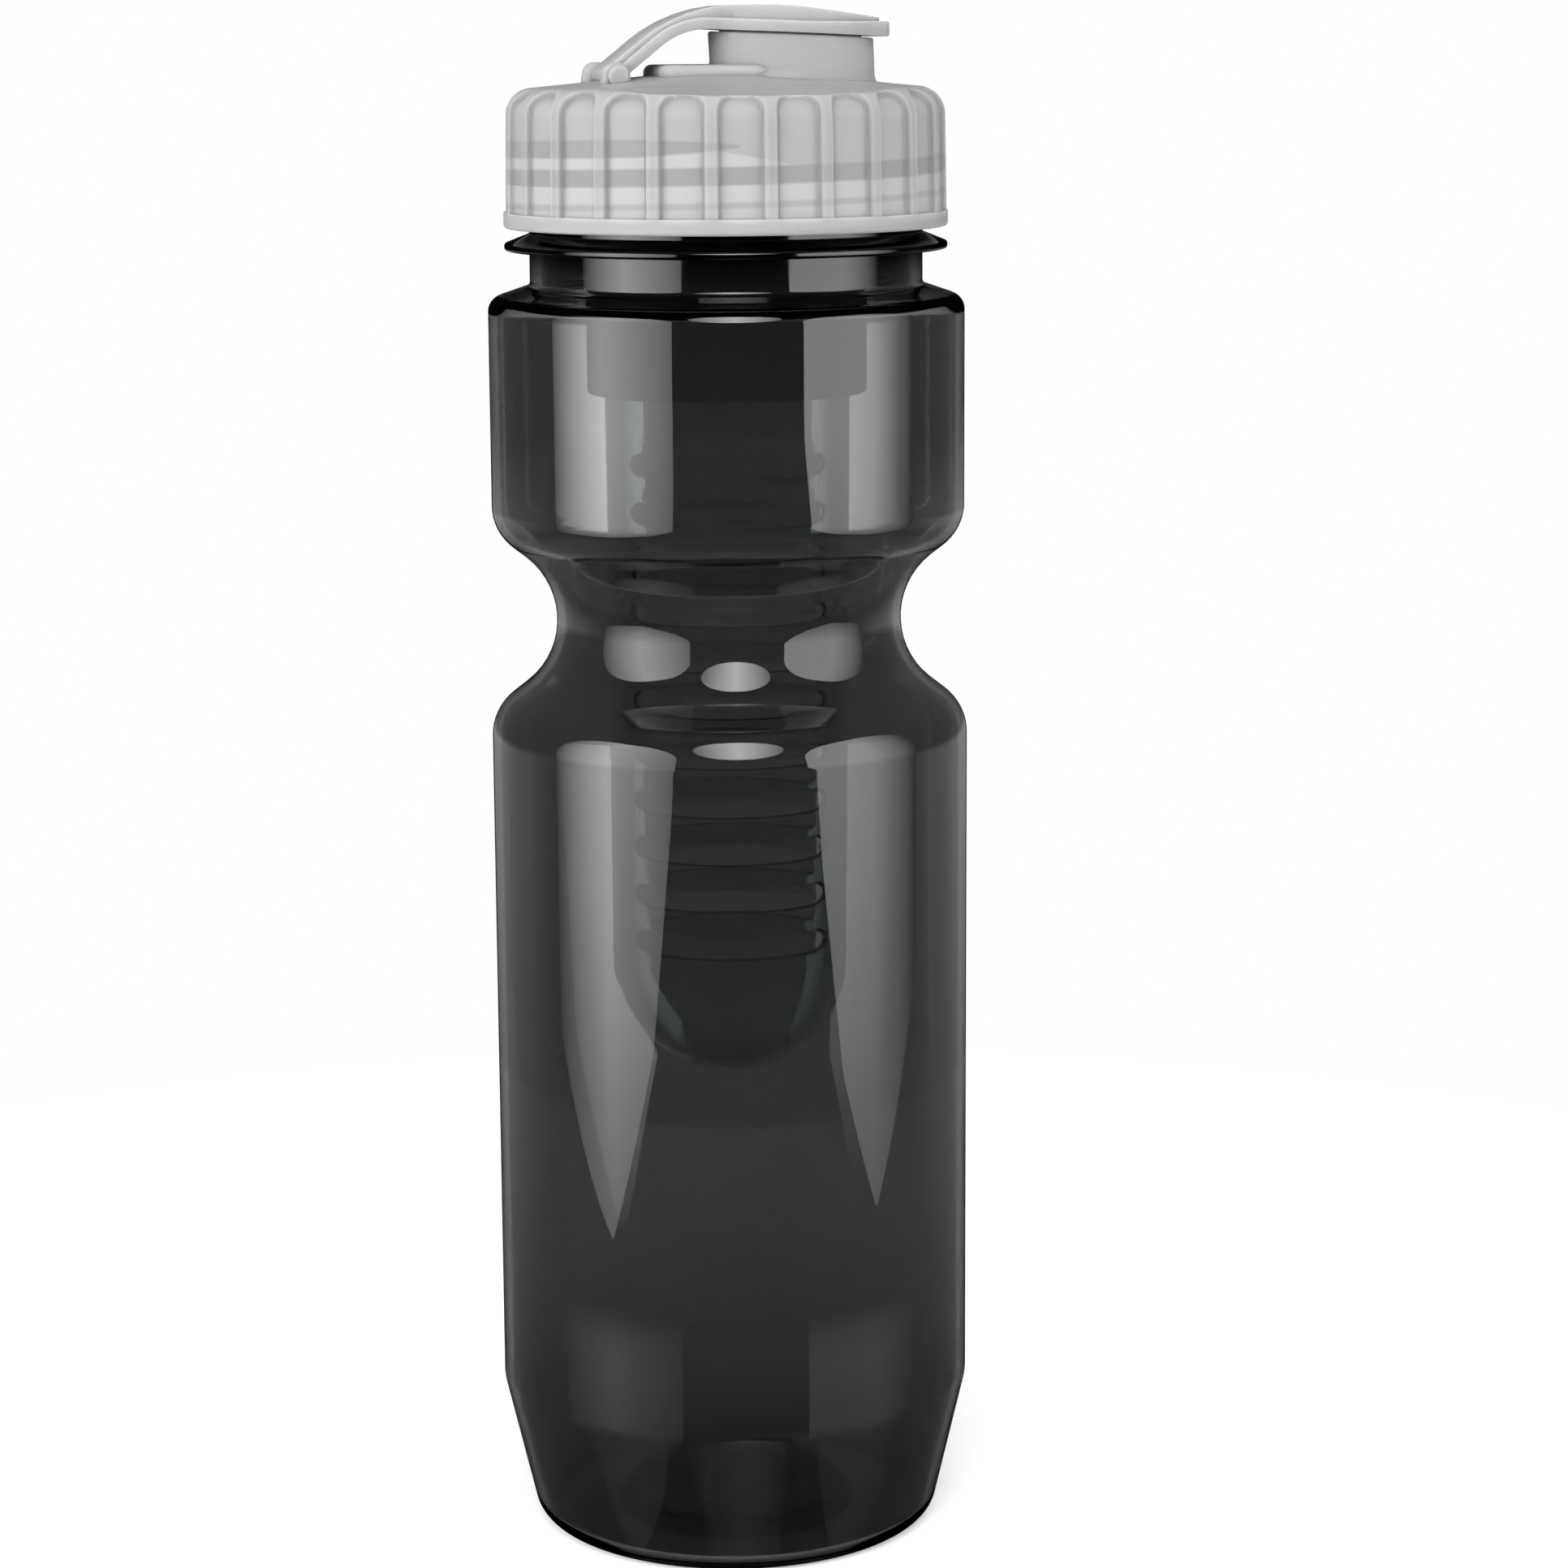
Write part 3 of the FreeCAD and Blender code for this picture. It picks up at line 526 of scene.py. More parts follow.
def paint_thread_shade(material, finish, sizes, lid):
    """Paints the shade of the neck's thread, seen through the frosted wall, as dark bands with painted
    lighter bands between them, and paints shade on the ribs, the scoops and the rib edges.
    """
    # Heights are in pitches above the thread's end, and places along the thread in turns from its end
    band_half = 0.31
    faint_half = 0.11
    faint_share = 0.55
    faint_start, faint_full = -1.45, -1.55
    blur = 0.06
    taper_turns, taper_power = 0.08, 0.6
    least_half = 0.001
    end_turns = 0.004
    tree = material.node_tree
    axes = axes_of(tree)
    pitch = sizes.thread_pitch
    heading = add_node(tree, "Math", axes["Y"], axes["X"], operation="ARCTAN2")
    turn = add_node(
        tree, "Math", heading, 1 / FULL_TURN, -sizes.thread_angle / FULL_TURN, operation="MULTIPLY_ADD"
    )
    climb = add_node(
        tree, "Math", axes["Z"], 1 / pitch, -sizes.thread_end / pitch, operation="MULTIPLY_ADD"
    )
    lead = add_node(tree, "Math", climb, turn, operation="SUBTRACT")
    whole = add_node(tree, "Math", lead, operation="ROUND")
    along = add_node(tree, "Math", turn, whole, operation="ADD")
    off = add_node(tree, "Math", climb, along, operation="SUBTRACT")
    off = add_node(tree, "Math", off, operation="ABSOLUTE")
    taper = add_node(tree, "MapRange", along, -taper_turns, 0.0, 1.0, 0.0)
    taper = add_node(tree, "Math", taper, taper_power, operation="POWER")
    faint = add_node(tree, "MapRange", climb, faint_full, faint_start, 1.0, 0.0)
    full = add_node(tree, "Math", faint, faint_half - band_half, band_half, operation="MULTIPLY_ADD")
    width = add_node(tree, "Math", taper, full, operation="MULTIPLY")
    width = add_node(tree, "Math", width, least_half, operation="MAXIMUM")
    outside = add_node(tree, "Math", off, width, operation="SUBTRACT")
    dark = add_node(tree, "MapRange", outside, -blur, blur, 1.0, 0.0, interpolation_type="SMOOTHSTEP")
    strength = add_node(tree, "Math", faint, faint_share - 1.0, 1.0, operation="MULTIPLY_ADD")
    dark = add_node(tree, "Math", dark, strength, operation="MULTIPLY")
    begun = add_node(tree, "MapRange", along, -end_turns, 0.0, 1.0, 0.0)
    dark = add_node(tree, "Math", dark, begun, operation="MULTIPLY")

    # Painted light: everything below the topmost band is paler, from a slanting streak where the thread ends
    streak_start, streak_end = -0.03, 0.04
    streak_drop = 0.69
    pale_start, pale_full = 0.02, -0.05
    flange_blur = 0.3 * MM
    whole = add_node(tree, "Math", turn, streak_end, operation="SUBTRACT")
    whole = add_node(tree, "Math", whole, operation="CEIL")
    top = add_node(tree, "Math", turn, whole, operation="SUBTRACT")
    streak = add_node(tree, "MapRange", top, streak_start, streak_end)
    streak = add_node(tree, "Math", streak, -streak_drop, top, operation="MULTIPLY_ADD")
    below = add_node(tree, "Math", climb, streak, operation="SUBTRACT")
    below = add_node(tree, "MapRange", below, pale_full, pale_start, 1.0, 0.0)
    on_skirt = add_node(tree, "MapRange", axes["Z"], lid.flange_top, lid.flange_top + flange_blur)
    below = add_node(tree, "Math", below, on_skirt, operation="MULTIPLY")
    tone = add_node(tree, "Mix", below, rgba(finish.frosted), rgba(finish.frosted_painted_light), data_type="RGBA")
    tone = add_node(tree, "Mix", dark, tone, rgba(finish.frosted_painted_shade), data_type="RGBA")
    # Painted shade on the ribs, on the scoops and along the rib edges
    shades = (
        ("rib", 0.5, finish.frosted_painted_shade),
        ("scoop", 0.5, finish.frosted_painted_shade),
        ("rib_edge_painted_shade", 0.6, finish.frosted_painted_edge_shade),
    )
    for mark, share, shade in shades:
        shaded = add_node(tree, "Attribute", attribute_name=mark).outputs["Fac"]
        shaded = add_node(tree, "Math", shaded, share, operation="MULTIPLY")
        tone = add_node(tree, "Mix", shaded, tone, rgba(shade), data_type="RGBA")
    feed(tree.nodes["Principled BSDF"].inputs["Base Color"], tone)


def clear_polystyrene(finish):
    """Clear, very slightly green plastic: seen by its edges and highlights, with painted shade on the cut
    edges of its slots.
    """
    material, tree, shader = new_material(
        "clear_polystyrene", Roughness=0.015, IOR=1.59, Transmission_Weight=1.0
    )
    cut = add_node(tree, "Attribute", attribute_name="slot_edge_painted_shade").outputs["Fac"]
    tint = add_node(tree, "Mix", cut, rgba(finish.clear), rgba(finish.clear_painted_edge_shade), data_type="RGBA")
    feed(shader.inputs["Base Color"], tint)
    return material


def silicone_rubber(finish):
    """Matt off-white rubber."""
    return new_material("silicone_rubber", Base_Color=rgba(finish.silicone), Roughness=0.6)[0]


# Pieces


def bottle_outline(s):
    """The bottle's section: up the outside from the middle of the floor and down the inside."""
    push_up_radius = 18.4 * MM
    waist_corner = 18.584 * MM
    waist_arc = 13.0 * MM
    neck_height = 196.5 * MM
    bead_radius = 33.85 * MM
    step_height = 2.6 * MM
    step_slant = 1.0 * MM
    ring_radius = 10.3 * MM
    ring_height = 5.0 * MM
    middle_height = 6.6 * MM
    button_radius = 4.9 * MM
    button_top = 7.8 * MM
    button_round = 0.6 * MM
    base_round = 0.8 * MM
    foot_round = 4.1 * MM
    foot_round_inside = 2.8 * MM
    foot_inset = 0.879 * MM
    taper_round = 8.0 * MM
    waist_round = 7.5 * MM
    waist_round_inside = 6.2 * MM
    waist_spread = 0.63 * MM
    waist_inset = 2.111 * MM
    shoulder_round = 2.5 * MM
    shoulder_round_inside = 1.2 * MM
    neck_round = 0.8 * MM
    lip_round = 0.5 * MM
    bead_round = 0.45 * MM
    bead_crease = 0.25 * MM
    bead_edge = s.bead_height + 1.0 * MM
    bead_top = s.bead_height + 2.5 * MM
    inside = s.body_radius - s.body_wall
    upper_inside = s.upper_radius - s.body_wall
    neck_inside = s.neck_radius - s.neck_wall
    floor = s.neck_wall
    return [
        side(0, middle_height),
        side(ring_radius, ring_height, base_round),
        side(push_up_radius - step_slant, step_height, base_round),
        side(push_up_radius, 0, base_round),
        side(s.foot_radius, 0, foot_round),
        side(s.body_radius, s.taper_height, taper_round),
        side(s.body_radius, s.waist_bottom, waist_round),
        side(waist_corner, s.waist_height, waist_arc),
        side(s.upper_radius, s.waist_top, waist_round),
        side(s.upper_radius, s.shoulder_height, shoulder_round),
        side(s.neck_radius, neck_height, neck_round),
        side(s.neck_radius, s.bead_height, bead_crease),
        side(bead_radius, s.bead_height, bead_round),
        side(bead_radius, bead_edge, bead_round),
        side(s.neck_radius, bead_top, bead_crease),
        side(s.neck_radius, s.lip_height, lip_round),
        side(neck_inside, s.lip_height, lip_round),
        side(neck_inside, neck_height - s.body_wall, shoulder_round),
        side(upper_inside, s.shoulder_height - s.body_wall, shoulder_round_inside),
        side(upper_inside, s.waist_top + waist_spread, waist_round_inside),
        side(waist_corner - waist_inset, s.waist_height, waist_arc + s.body_wall),
        side(inside, s.waist_bottom - waist_spread, waist_round_inside),
        side(inside, s.taper_height, taper_round),
        side(s.foot_radius - foot_inset, floor, foot_round_inside),
        side(push_up_radius, floor, base_round),
        side(push_up_radius - step_slant, step_height + floor, base_round),
        side(ring_radius, ring_height + floor, base_round),
        side(button_radius, middle_height + floor),
        side(button_radius, button_top + floor, button_round),
        side(0, button_top + floor),
    ]


def neck_thread(s):
    """The thread on the bottle's neck."""
    turns = 2.3
    root = s.neck_radius - SUNK_ROOT
    crest = s.neck_radius + s.thread_depth
    foot = s.thread_end - s.thread_pitch * turns
    root_half = 1.35 * MM
    crest_half = 0.6 * MM
    return thread("neck_thread", s, turns, foot, root, crest, root_half, crest_half, rounding=0.25 * MM)


class BuildBottle(bpy.types.Operator):
    """Builds the tinted bottle and the thread on its neck"""

    bl_idname = "infuser_bottle.build_bottle"
    bl_label = "Build bottle"

    def execute(self, context):
        settings = context.scene.infuser_bottle
        s = settings.bottle
        smoke = smoke_copolyester(settings.finish, s)
        shell = turned("bottle_shell", bottle_outline(s))
        handed_in(shell, "bottle", "bottle", smoke, smooth_angle=60)
        handed_in(neck_thread(s), "bottle", "bottle", smoke, THREAD_SMOOTH)
        return {"FINISHED"}


def clamped(value):
    return min(1, max(0, value))


def press_panels(piece, s):
    """Presses the arched panels into the skirt and its top edge, and marks the ribs and their edges, where
    the lid's material paints shade.
    """
    panel_round = 2.6 * MM
    panel_edge = 0.4 * MM
    step = FULL_TURN / s.panel_count
    half = s.panel_width / 2 - panel_round
    rise = s.panel_top - panel_round
    lowest_tilt = -0.2
    # Marks for painted shade on the ribs and along their edges
    ribs = piece.data.attributes.new("rib", "FLOAT", "POINT")
    edges = piece.data.attributes.new("rib_edge_painted_shade", "FLOAT", "POINT")
    moves = []
    for vertex in piece.data.vertices:
        place, normal = vertex.co, vertex.normal
        radius = hypot(place.x, place.y)
        outer = s.skirt_radius - s.edge_round < radius < s.skirt_radius + NEAR
        outward = normal.x * place.x + normal.y * place.y > 0 and normal.z > lowest_tilt
        if not (outer and outward and place.z > s.flange_top - NEAR):
            continue
        aside = abs(atan2(place.y, place.x) % step - step / 2) * radius - half
        above = place.z - rise
        outside = hypot(max(aside, 0), max(above, 0)) + min(max(aside, above), 0) - panel_round
        depth = clamped(0.5 - outside / (2 * panel_edge))
        depth = depth * depth * (3 - 2 * depth)
        ribs.data[vertex.index].value = (1 - depth) * clamped((s.panel_top - place.z) / panel_round)
        edges.data[vertex.index].value = 4 * depth * (1 - depth)
        moves.append((vertex, normal * (-depth * s.panel_depth)))
    for vertex, move in moves:
        vertex.co += move


def lid_shell(s, slope):
    """The screw cap: panelled skirt, flange, conical top with the pouring hole, ceiling and inner ring."""
    ring_radius = 19.9 * MM
    ring_bore = 18.6 * MM
    shell = traced("lid_shell", [
        side(0, s.apex),
        side(s.edge_radius, s.edge_height, s.edge_round),
        side(s.skirt_radius, s.flange_top),
        side(s.flange_radius, s.flange_top, 0.15 * MM),
        side(s.flange_radius, s.flange_bottom, 0.5 * MM),
        side(s.bore, s.flange_bottom, 0.3 * MM),
        side(s.bore, s.ceiling, 0.6 * MM),
        side(ring_radius, s.ceiling, 0.4 * MM),
        side(ring_radius, s.ring_bottom, 0.3 * MM),
        side(ring_bore, s.ring_bottom, 0.3 * MM),
        side(ring_bore, s.apex - s.top_wall - slope * ring_bore, 0.4 * MM),
        side(0, s.apex - s.top_wall),
    ], False)
    skirt_cuts = 24
    sector_steps = 30
    margin = 1.0 * MM
    lower = s.flange_top + margin
    upper = s.edge_height - s.edge_round - margin
    pick(shell, lambda place: place.x > s.edge_radius - NEAR and lower < place.z < upper, "EDGE")
    bpy.ops.mesh.subdivide(number_cuts=skirt_cuts)
    bpy.ops.mesh.select_all(action="SELECT")
    bpy.ops.mesh.spin(steps=sector_steps, angle=FULL_TURN / s.panel_count, center=(0, 0, 0), axis=UP)
    closed_up()
    press_panels(shell, s)
    repeated(shell, s.panel_count)
    hole = rod("pour_cutter", s.pour_radius, s.ring_bottom, s.spout_rim, steps=64)
    moved(hole, (s.spout_offset, 0, 0))
    combined(shell, hole, "DIFFERENCE")
    return shell


def cut_scoops(shell, s, slope, crown):
    """Cuts a shallow scoop into each side of the lid's top."""
    scoop_rim = 2.4 * MM
    scoop_slope = radians(13.3)
    scoop_chord = radians(7.8)
    middle = (s.scoop_start + s.edge_radius - scoop_rim) / 2
    run = middle - s.scoop_start
    start = s.apex - slope * s.scoop_start
    low = start - run * tan(scoop_slope)
    end = start - 2 * run * tan(scoop_chord)
    outline = [
        side(s.scoop_start, start),
        side(middle, low, run / tan(scoop_slope - scoop_chord)),
        side(middle + 2 * run, end + (end - low)),
        side(middle + 2 * run, crown),
        side(s.scoop_start, crown),
    ]
    across = Vector((0, 2 * s.edge_radius, 0))
    for heading in (pi / 2, -pi / 2):
        scoop = prism("scoop_cutter", outline, across, -across / 2)
        moved(scoop, turn=heading)
        combined(shell, scoop, "DIFFERENCE")


def mark_scoops(shell, s):
    """Keeps the line where the cone meets a scoop, and marks the scoops, where the lid's material paints
    shade.
    """
    slightest = radians(2.5)
    straight = 0.001
    reach = s.edge_radius - s.edge_round
    mesh = shell.data
    normals = {}
    for face in mesh.polygons:
        for key in face.edge_keys:
            normals.setdefault(key, []).append(face.normal)
    for edge in mesh.edges:
        near = all(mesh.vertices[index].co.xy.length < reach for index in edge.vertices)
        beside = normals[edge.key]
        level = all(normal.z > LEVEL for normal in beside)
        if near and level and len(beside) == 2 and beside[0].angle(beside[1]) > slightest:
            edge.use_edge_sharp = True
    # Marks for painted shade on the scoops
    scoops = mesh.attributes.new("scoop", "FLOAT", "FACE")
    for face in mesh.polygons:
        slopes_aside = face.normal.z > LEVEL and abs(face.normal.x) < straight
        scoops.data[face.index].value = float(slopes_aside and abs(face.center.y) > s.scoop_start)


def lid_spout(s):
    """The drinking spout with its spread foot and slanted rim."""
    spout_foot = 2.6 * MM
    foot_height = 226.75 * MM
    foot_slope = radians(4.4)
    foot = s.apex - s.top_wall - OVERLAP
    bore = s.spout_radius - s.spout_wall
    spout = turned("lid_spout", [
        side(s.spout_radius + spout_foot, foot),
        side(s.spout_radius + spout_foot, foot_height),
        side(s.spout_radius, foot_height + 0.3 * MM, spout_foot * 0.9),
        side(s.spout_radius, s.spout_rim, 0.4 * MM),
        side(bore, s.spout_rim, 0.4 * MM),
        side(bore, foot),
    ], closed=True, steps=128)
    rim_height = 1.0 * MM
    foot_top = foot_height + spout_foot
    opened(spout)
    pick(spout, lambda place: place.z > s.spout_rim - rim_height)
    bpy.ops.transform.rotate(value=-s.rim_slope, orient_axis="Y", center_override=(0, 0, s.spout_rim))
    pick(spout, lambda place: place.xy.length > s.spout_radius - NEAR and foot + OVERLAP < place.z < foot_top)
    bpy.ops.transform.rotate(value=-foot_slope, orient_axis="Y", center_override=(0, 0, foot_height))
    bpy.ops.object.mode_set(mode="OBJECT")
    moved(spout, (s.spout_offset, 0, 0))
    return spout


def lid_pad(s):
    """The soft-edged pad from the spout to the hinge, with the spout's bore through it."""
    pad_radius = 12.3 * MM
    pad_top = 229.5 * MM
    pad_end = 11.4 * MM
    pad_width = 17.0 * MM
    foot = s.ceiling + OVERLAP
    half = [(-pad_end, pad_width / 2, 3.0 * MM), (s.spout_offset, pad_radius, 0)]
    pad = prism("lid_pad", doubled(half), UP * (pad_top - foot), UP * foot)
    opened(pad)
    pick(pad, lambda place: place.z > pad_top - NEAR, "EDGE")
    bpy.ops.mesh.bevel(offset=1.2 * MM, segments=6, affect="EDGES")
    closed_up()
    bore = rod("spout_cutter", s.spout_radius - s.spout_wall, s.ring_bottom, s.spout_rim, steps=128)
    moved(bore, (s.spout_offset, 0, 0))
    combined(pad, bore, "DIFFERENCE")
    return pad


def lid_ears(s):
    """The two hinge ears."""
    ear_radius = 1.9 * MM
    ear_foot = 5.4 * MM
    foot = s.ceiling + OVERLAP
    top = s.hinge_height + ear_radius
    ears = prism("lid_ears", [
        side(-s.hinge_offset - ear_foot / 2, foot),
        side(-s.hinge_offset + ear_foot / 2, foot),
        side(-s.hinge_offset + ear_radius, top, ear_radius * FULL_ROUND),
        side(-s.hinge_offset - ear_radius, top, ear_radius * FULL_ROUND),
    ], Vector((0, s.ear_thickness, 0)), Vector((0, s.ear_gap / 2, 0)))
    soft_edges(ears, width=1.1 * MM, segments=5, sharp=50)
    on_both_sides(ears)
    return ears


def lid_knobs(s):
    """The round knob on the outside of each ear."""
    knob_radius = 1.45 * MM
    knob_height = 0.9 * MM
    knobs = rod("lid_knobs", knob_radius, -OVERLAP, knob_height, steps=48, rounding=knob_height * 0.95)
    moved(knobs, (-s.hinge_offset, -s.ear_gap / 2 - s.ear_thickness, s.hinge_height), pi / 2, "X")
    on_both_sides(knobs)
    return knobs


def lid_thread(s, bottle):
    """One turn of thread, low in the skirt."""
    turns = 1.0
    below_end = 1.5
    root = s.bore + SUNK_ROOT
    crest = s.bore - bottle.thread_depth
    foot = bottle.thread_end - bottle.thread_pitch * (turns + below_end)
    root_half = 1.2 * MM
    crest_half = 0.5 * MM
    return thread("lid_thread", bottle, turns, foot, root, crest, root_half, crest_half, rounding=0.2 * MM)


class BuildLid(bpy.types.Operator):
    """Builds the lid with its panels, spout, pad, hinge ears and inner thread"""

    bl_idname = "infuser_bottle.build_lid"
    bl_label = "Build lid"

    def execute(self, context):
        settings = context.scene.infuser_bottle
        s = settings.lid
        finish = settings.finish
        frosted = frosted_polypropylene("frosted_polypropylene", finish.frosted)
        # The lid shell's material carries painted shade of the thread, the ribs and the scoops, and painted
        # light between the thread's turns
        banded = frosted_polypropylene("frosted_polypropylene_painted_shade", finish.frosted)
        paint_thread_shade(banded, finish, settings.bottle, s)
        slope = (s.apex - s.edge_height) / s.edge_radius
        shell = lid_shell(s, slope)
        cut_scoops(shell, s, slope, settings.strap.crown)
        handed_in(shell, "lid", "lid", banded)
        mark_scoops(shell, s)
        for piece in (lid_spout(s), lid_pad(s), lid_ears(s), lid_knobs(s)):
            handed_in(piece, "lid", "lid", frosted)
        handed_in(lid_thread(s, settings.bottle), "lid", "lid", frosted, THREAD_SMOOTH)
        return {"FINISHED"}


def strap_side(s, lid):
    """Side views of the strap's plate and of the band on it."""
    under_arc = 11.0 * MM
    crown_arc = 24.0 * MM
    crown_flat = 6.0 * MM
    top_arc = 50.0 * MM
    band_end = 2.75 * MM
    tan_rise = tan(s.rise)
    tan_droop = tan(lid.rim_slope)

    def heel(back, across):
        x = -lid.hinge_offset - back * cos(s.rise) - across * sin(s.rise)
        return x, lid.hinge_height - back * sin(s.rise) + across * cos(s.rise)

    def along(x, above):
        return x, s.underside + above - x * tan_droop

    def knee(across, above):
        start = lid.hinge_height + across / cos(s.rise) + lid.hinge_offset * tan_rise
        return along((s.underside + above - start) / (tan_rise + tan_droop), above)

    heel_round = s.heel_radius * FULL_ROUND
    tab_round = s.tab_thickness * 0.35
    crown_rise = s.crown - lid.hinge_height - s.heel_radius / cos(s.rise)
    crown_start = crown_rise / tan_rise - lid.hinge_offset
    crown_end = crown_start + crown_arc * tan(s.rise / 2) + crown_flat
    plate = [
        side(*heel(s.heel_radius, -s.heel_radius), heel_round),
        side(*knee(-s.heel_radius, 0), under_arc),
        side(*along(s.tab_reach, 0), tab_round),
        side(*along(s.tab_reach, s.tab_thickness), tab_round),
        side(*along(lid.spout_offset, s.plate), top_arc),
        side(*knee(s.plate - s.heel_radius, s.plate), under_arc + s.plate),
        side(*heel(s.heel_radius, s.plate - s.heel_radius)),
    ]
    half = s.plate / 2
    band_reach = s.tab_reach - s.band_inset
    band = [
        side(*heel(s.heel_radius, half - s.heel_radius)),
        side(*knee(half - s.heel_radius, half), under_arc + half),
        side(*along(band_reach, half)),
        side(*along(band_reach, band_end)),
        side(crown_end, s.crown, top_arc),
        side(crown_start, s.crown, crown_arc),
        side(*heel(s.heel_radius, s.heel_radius), heel_round),
    ]
    return plate, band


def strap_plan(s, lid, inset):
    """Plan of the strap: narrow at the heel, a disc over the spout, then the tab."""
    heel_half_width = 6.7 * MM
    tab_round = 4.0 * MM
    disc_flare = 5.0 * MM
    radius = s.disc_radius - inset
    disc_round = radius * 0.99
    arm = heel_half_width - inset
    tab = s.tab_width / 2 - inset
    leave = pi - asin(arm / radius)
    ahead = s.tab_reach - inset - lid.spout_offset
    land = atan2(tab, ahead) + acos(radius / hypot(tab, ahead))
    span_in = (leave - pi / 2) / 2
    span_out = (pi / 2 - land) / 2
    return doubled([
        (-lid.hinge_offset - s.heel_radius - STAMP_MARGIN, arm, 0),
        (lid.spout_offset + radius * cos(leave), arm, disc_flare / 2),
        (lid.spout_offset - radius * tan(span_in), radius, disc_round),
        (lid.spout_offset + radius * tan(span_out), radius, disc_round),
        (s.tab_reach - inset, tab, tab_round),
    ])


def strap_plate(s, lid):
    """The strap: a plate with a raised band on it, each stamped out of its side view by its plan."""
    edge = 0.28 * MM
    stamp_bottom = UP * 215 * MM
    stamp_height = UP * 30 * MM
    across = Vector((0, 2 * (s.disc_radius + STAMP_MARGIN), 0))
    plate_side, band_side = strap_side(s, lid)
    layers = []
    for name, outline, inset in (("strap_plate", plate_side, 0), ("strap_band", band_side, s.band_inset)):
        layer = prism(name, outline, across, -across / 2)
        stamp = prism("strap_stamp", strap_plan(s, lid, inset), stamp_height, stamp_bottom)
        combined(layer, stamp, "INTERSECT")
        layers.append(layer)
    strap, band = layers
    combined(strap, band, "UNION")
    soft_edges(strap, width=edge, segments=3, sharp=30)
    return strap


def strap_plug(s, lid):
    """The hollow plug that closes the spout."""
    plug_rim = 10.9 * MM
    plug_tip = 10.1 * MM
    plug_depth = 3.3 * MM
    plug_wall = 1.7 * MM
    root = s.underside - lid.spout_offset * tan(lid.rim_slope)
    foot = root - plug_depth
    bore = plug_tip - plug_wall
    plug = turned("strap_plug", [
        side(bore, foot, 0.3 * MM),
        side(plug_tip, foot, 0.5 * MM),
        side(plug_rim, root),
        side(plug_rim, root + s.plate / 2),
        side(bore, root + s.plate / 2),
    ], closed=True, steps=128)
    moved(plug, (lid.spout_offset, 0, 0))
    return plug


def strap_pins(s, lid):
    """The hinge pins, drawn as one bar through the strap's heel."""
    pin_radius = 1.0 * MM
    pin_reach = 8.9 * MM
    bpy.ops.mesh.primitive_cylinder_add(vertices=48, radius=pin_radius, depth=2 * pin_reach)
    pins = bpy.context.object
    pins.name = pins.data.name = "strap_pins"
    moved(pins, (-lid.hinge_offset, 0, lid.hinge_height), pi / 2, "X")
    soft_edges(pins, width=0.2 * MM, segments=3, sharp=50)
    return pins


class BuildStrap(bpy.types.Operator):
    """Builds the strap with its raised band, plug and pins"""

    bl_idname = "infuser_bottle.build_strap"
    bl_label = "Build strap"

    def execute(self, context):
        settings = context.scene.infuser_bottle
        frosted = bpy.data.materials["frosted_polypropylene"]
        for build in (strap_plate, strap_plug, strap_pins):
            piece = build(settings.strap, settings.lid)
            handed_in(piece, "strap", "flip_strap", frosted)
        return {"FINISHED"}


def collar_ring(s):
    """The ring that joins the tube to the lid."""
    collar_bore = 19.98 * MM
    collar_ledge = 202.3 * MM
    tube_bore = 18.96 * MM
    return turned("collar_ring", [
        side(tube_bore, s.collar_bottom, 0.3 * MM),
        side(s.collar_radius, s.collar_bottom, 0.5 * MM),
        side(s.collar_radius, s.collar_top, 0.5 * MM),
        side(collar_bore, s.collar_top, 0.3 * MM),
        side(collar_bore, collar_ledge),
        side(tube_bore, collar_ledge),
    ], closed=True)


def tube_wall(s):
    """The clear tube with its round end and its slots, whose cut edges are marked for painted shade."""

    def skin(inset):
        foot = s.end_height - s.end_radius + inset
        return [
            side(0, foot),
            side(s.end_radius - inset, foot, (s.end_radius - inset) * 0.98),
            side(s.tube_radius - inset, s.collar_bottom),
            side(s.tube_radius - inset, s.tube_top, 0.3 * MM),
        ]

    tube = turned("tube_wall", [*skin(0), *reversed(skin(s.tube_wall))], steps=144)
    low = s.slot_first - s.slot_height / 2
    high = low + s.slot_height
    round_end = s.slot_height / 2 * FULL_ROUND
    across = Vector((0, 2 * s.tube_radius + 2 * MM, 0))
    slots = prism("slot_cutter", [
        side(-s.slot_reach, low, round_end),
        side(s.slot_reach, low, round_end),
        side(s.slot_reach, high, round_end),
        side(-s.slot_reach, high, round_end),
    ], across, -across / 2)
    modified(
        slots,
        "ARRAY",
        count=s.slot_count,
        use_relative_offset=False,
        use_constant_offset=True,
        constant_offset_displace=(0, 0, s.slot_pitch),
    )
    combined(tube, slots, "DIFFERENCE")
    most_outward = 0.5
    # Marks the slots' cut walls for painted shade
    edges = tube.data.attributes.new("slot_edge_painted_shade", "FLOAT", "FACE")
    for face in tube.data.polygons:
        outward = Vector((face.center.x, face.center.y, 0)).normalized()
        sideways = abs(face.normal.dot(outward)) < most_outward
        edges.data[face.index].value = float(sideways and low - NEAR < face.center.z < s.collar_bottom)
    moved(tube, turn=-s.turn)
    return tube


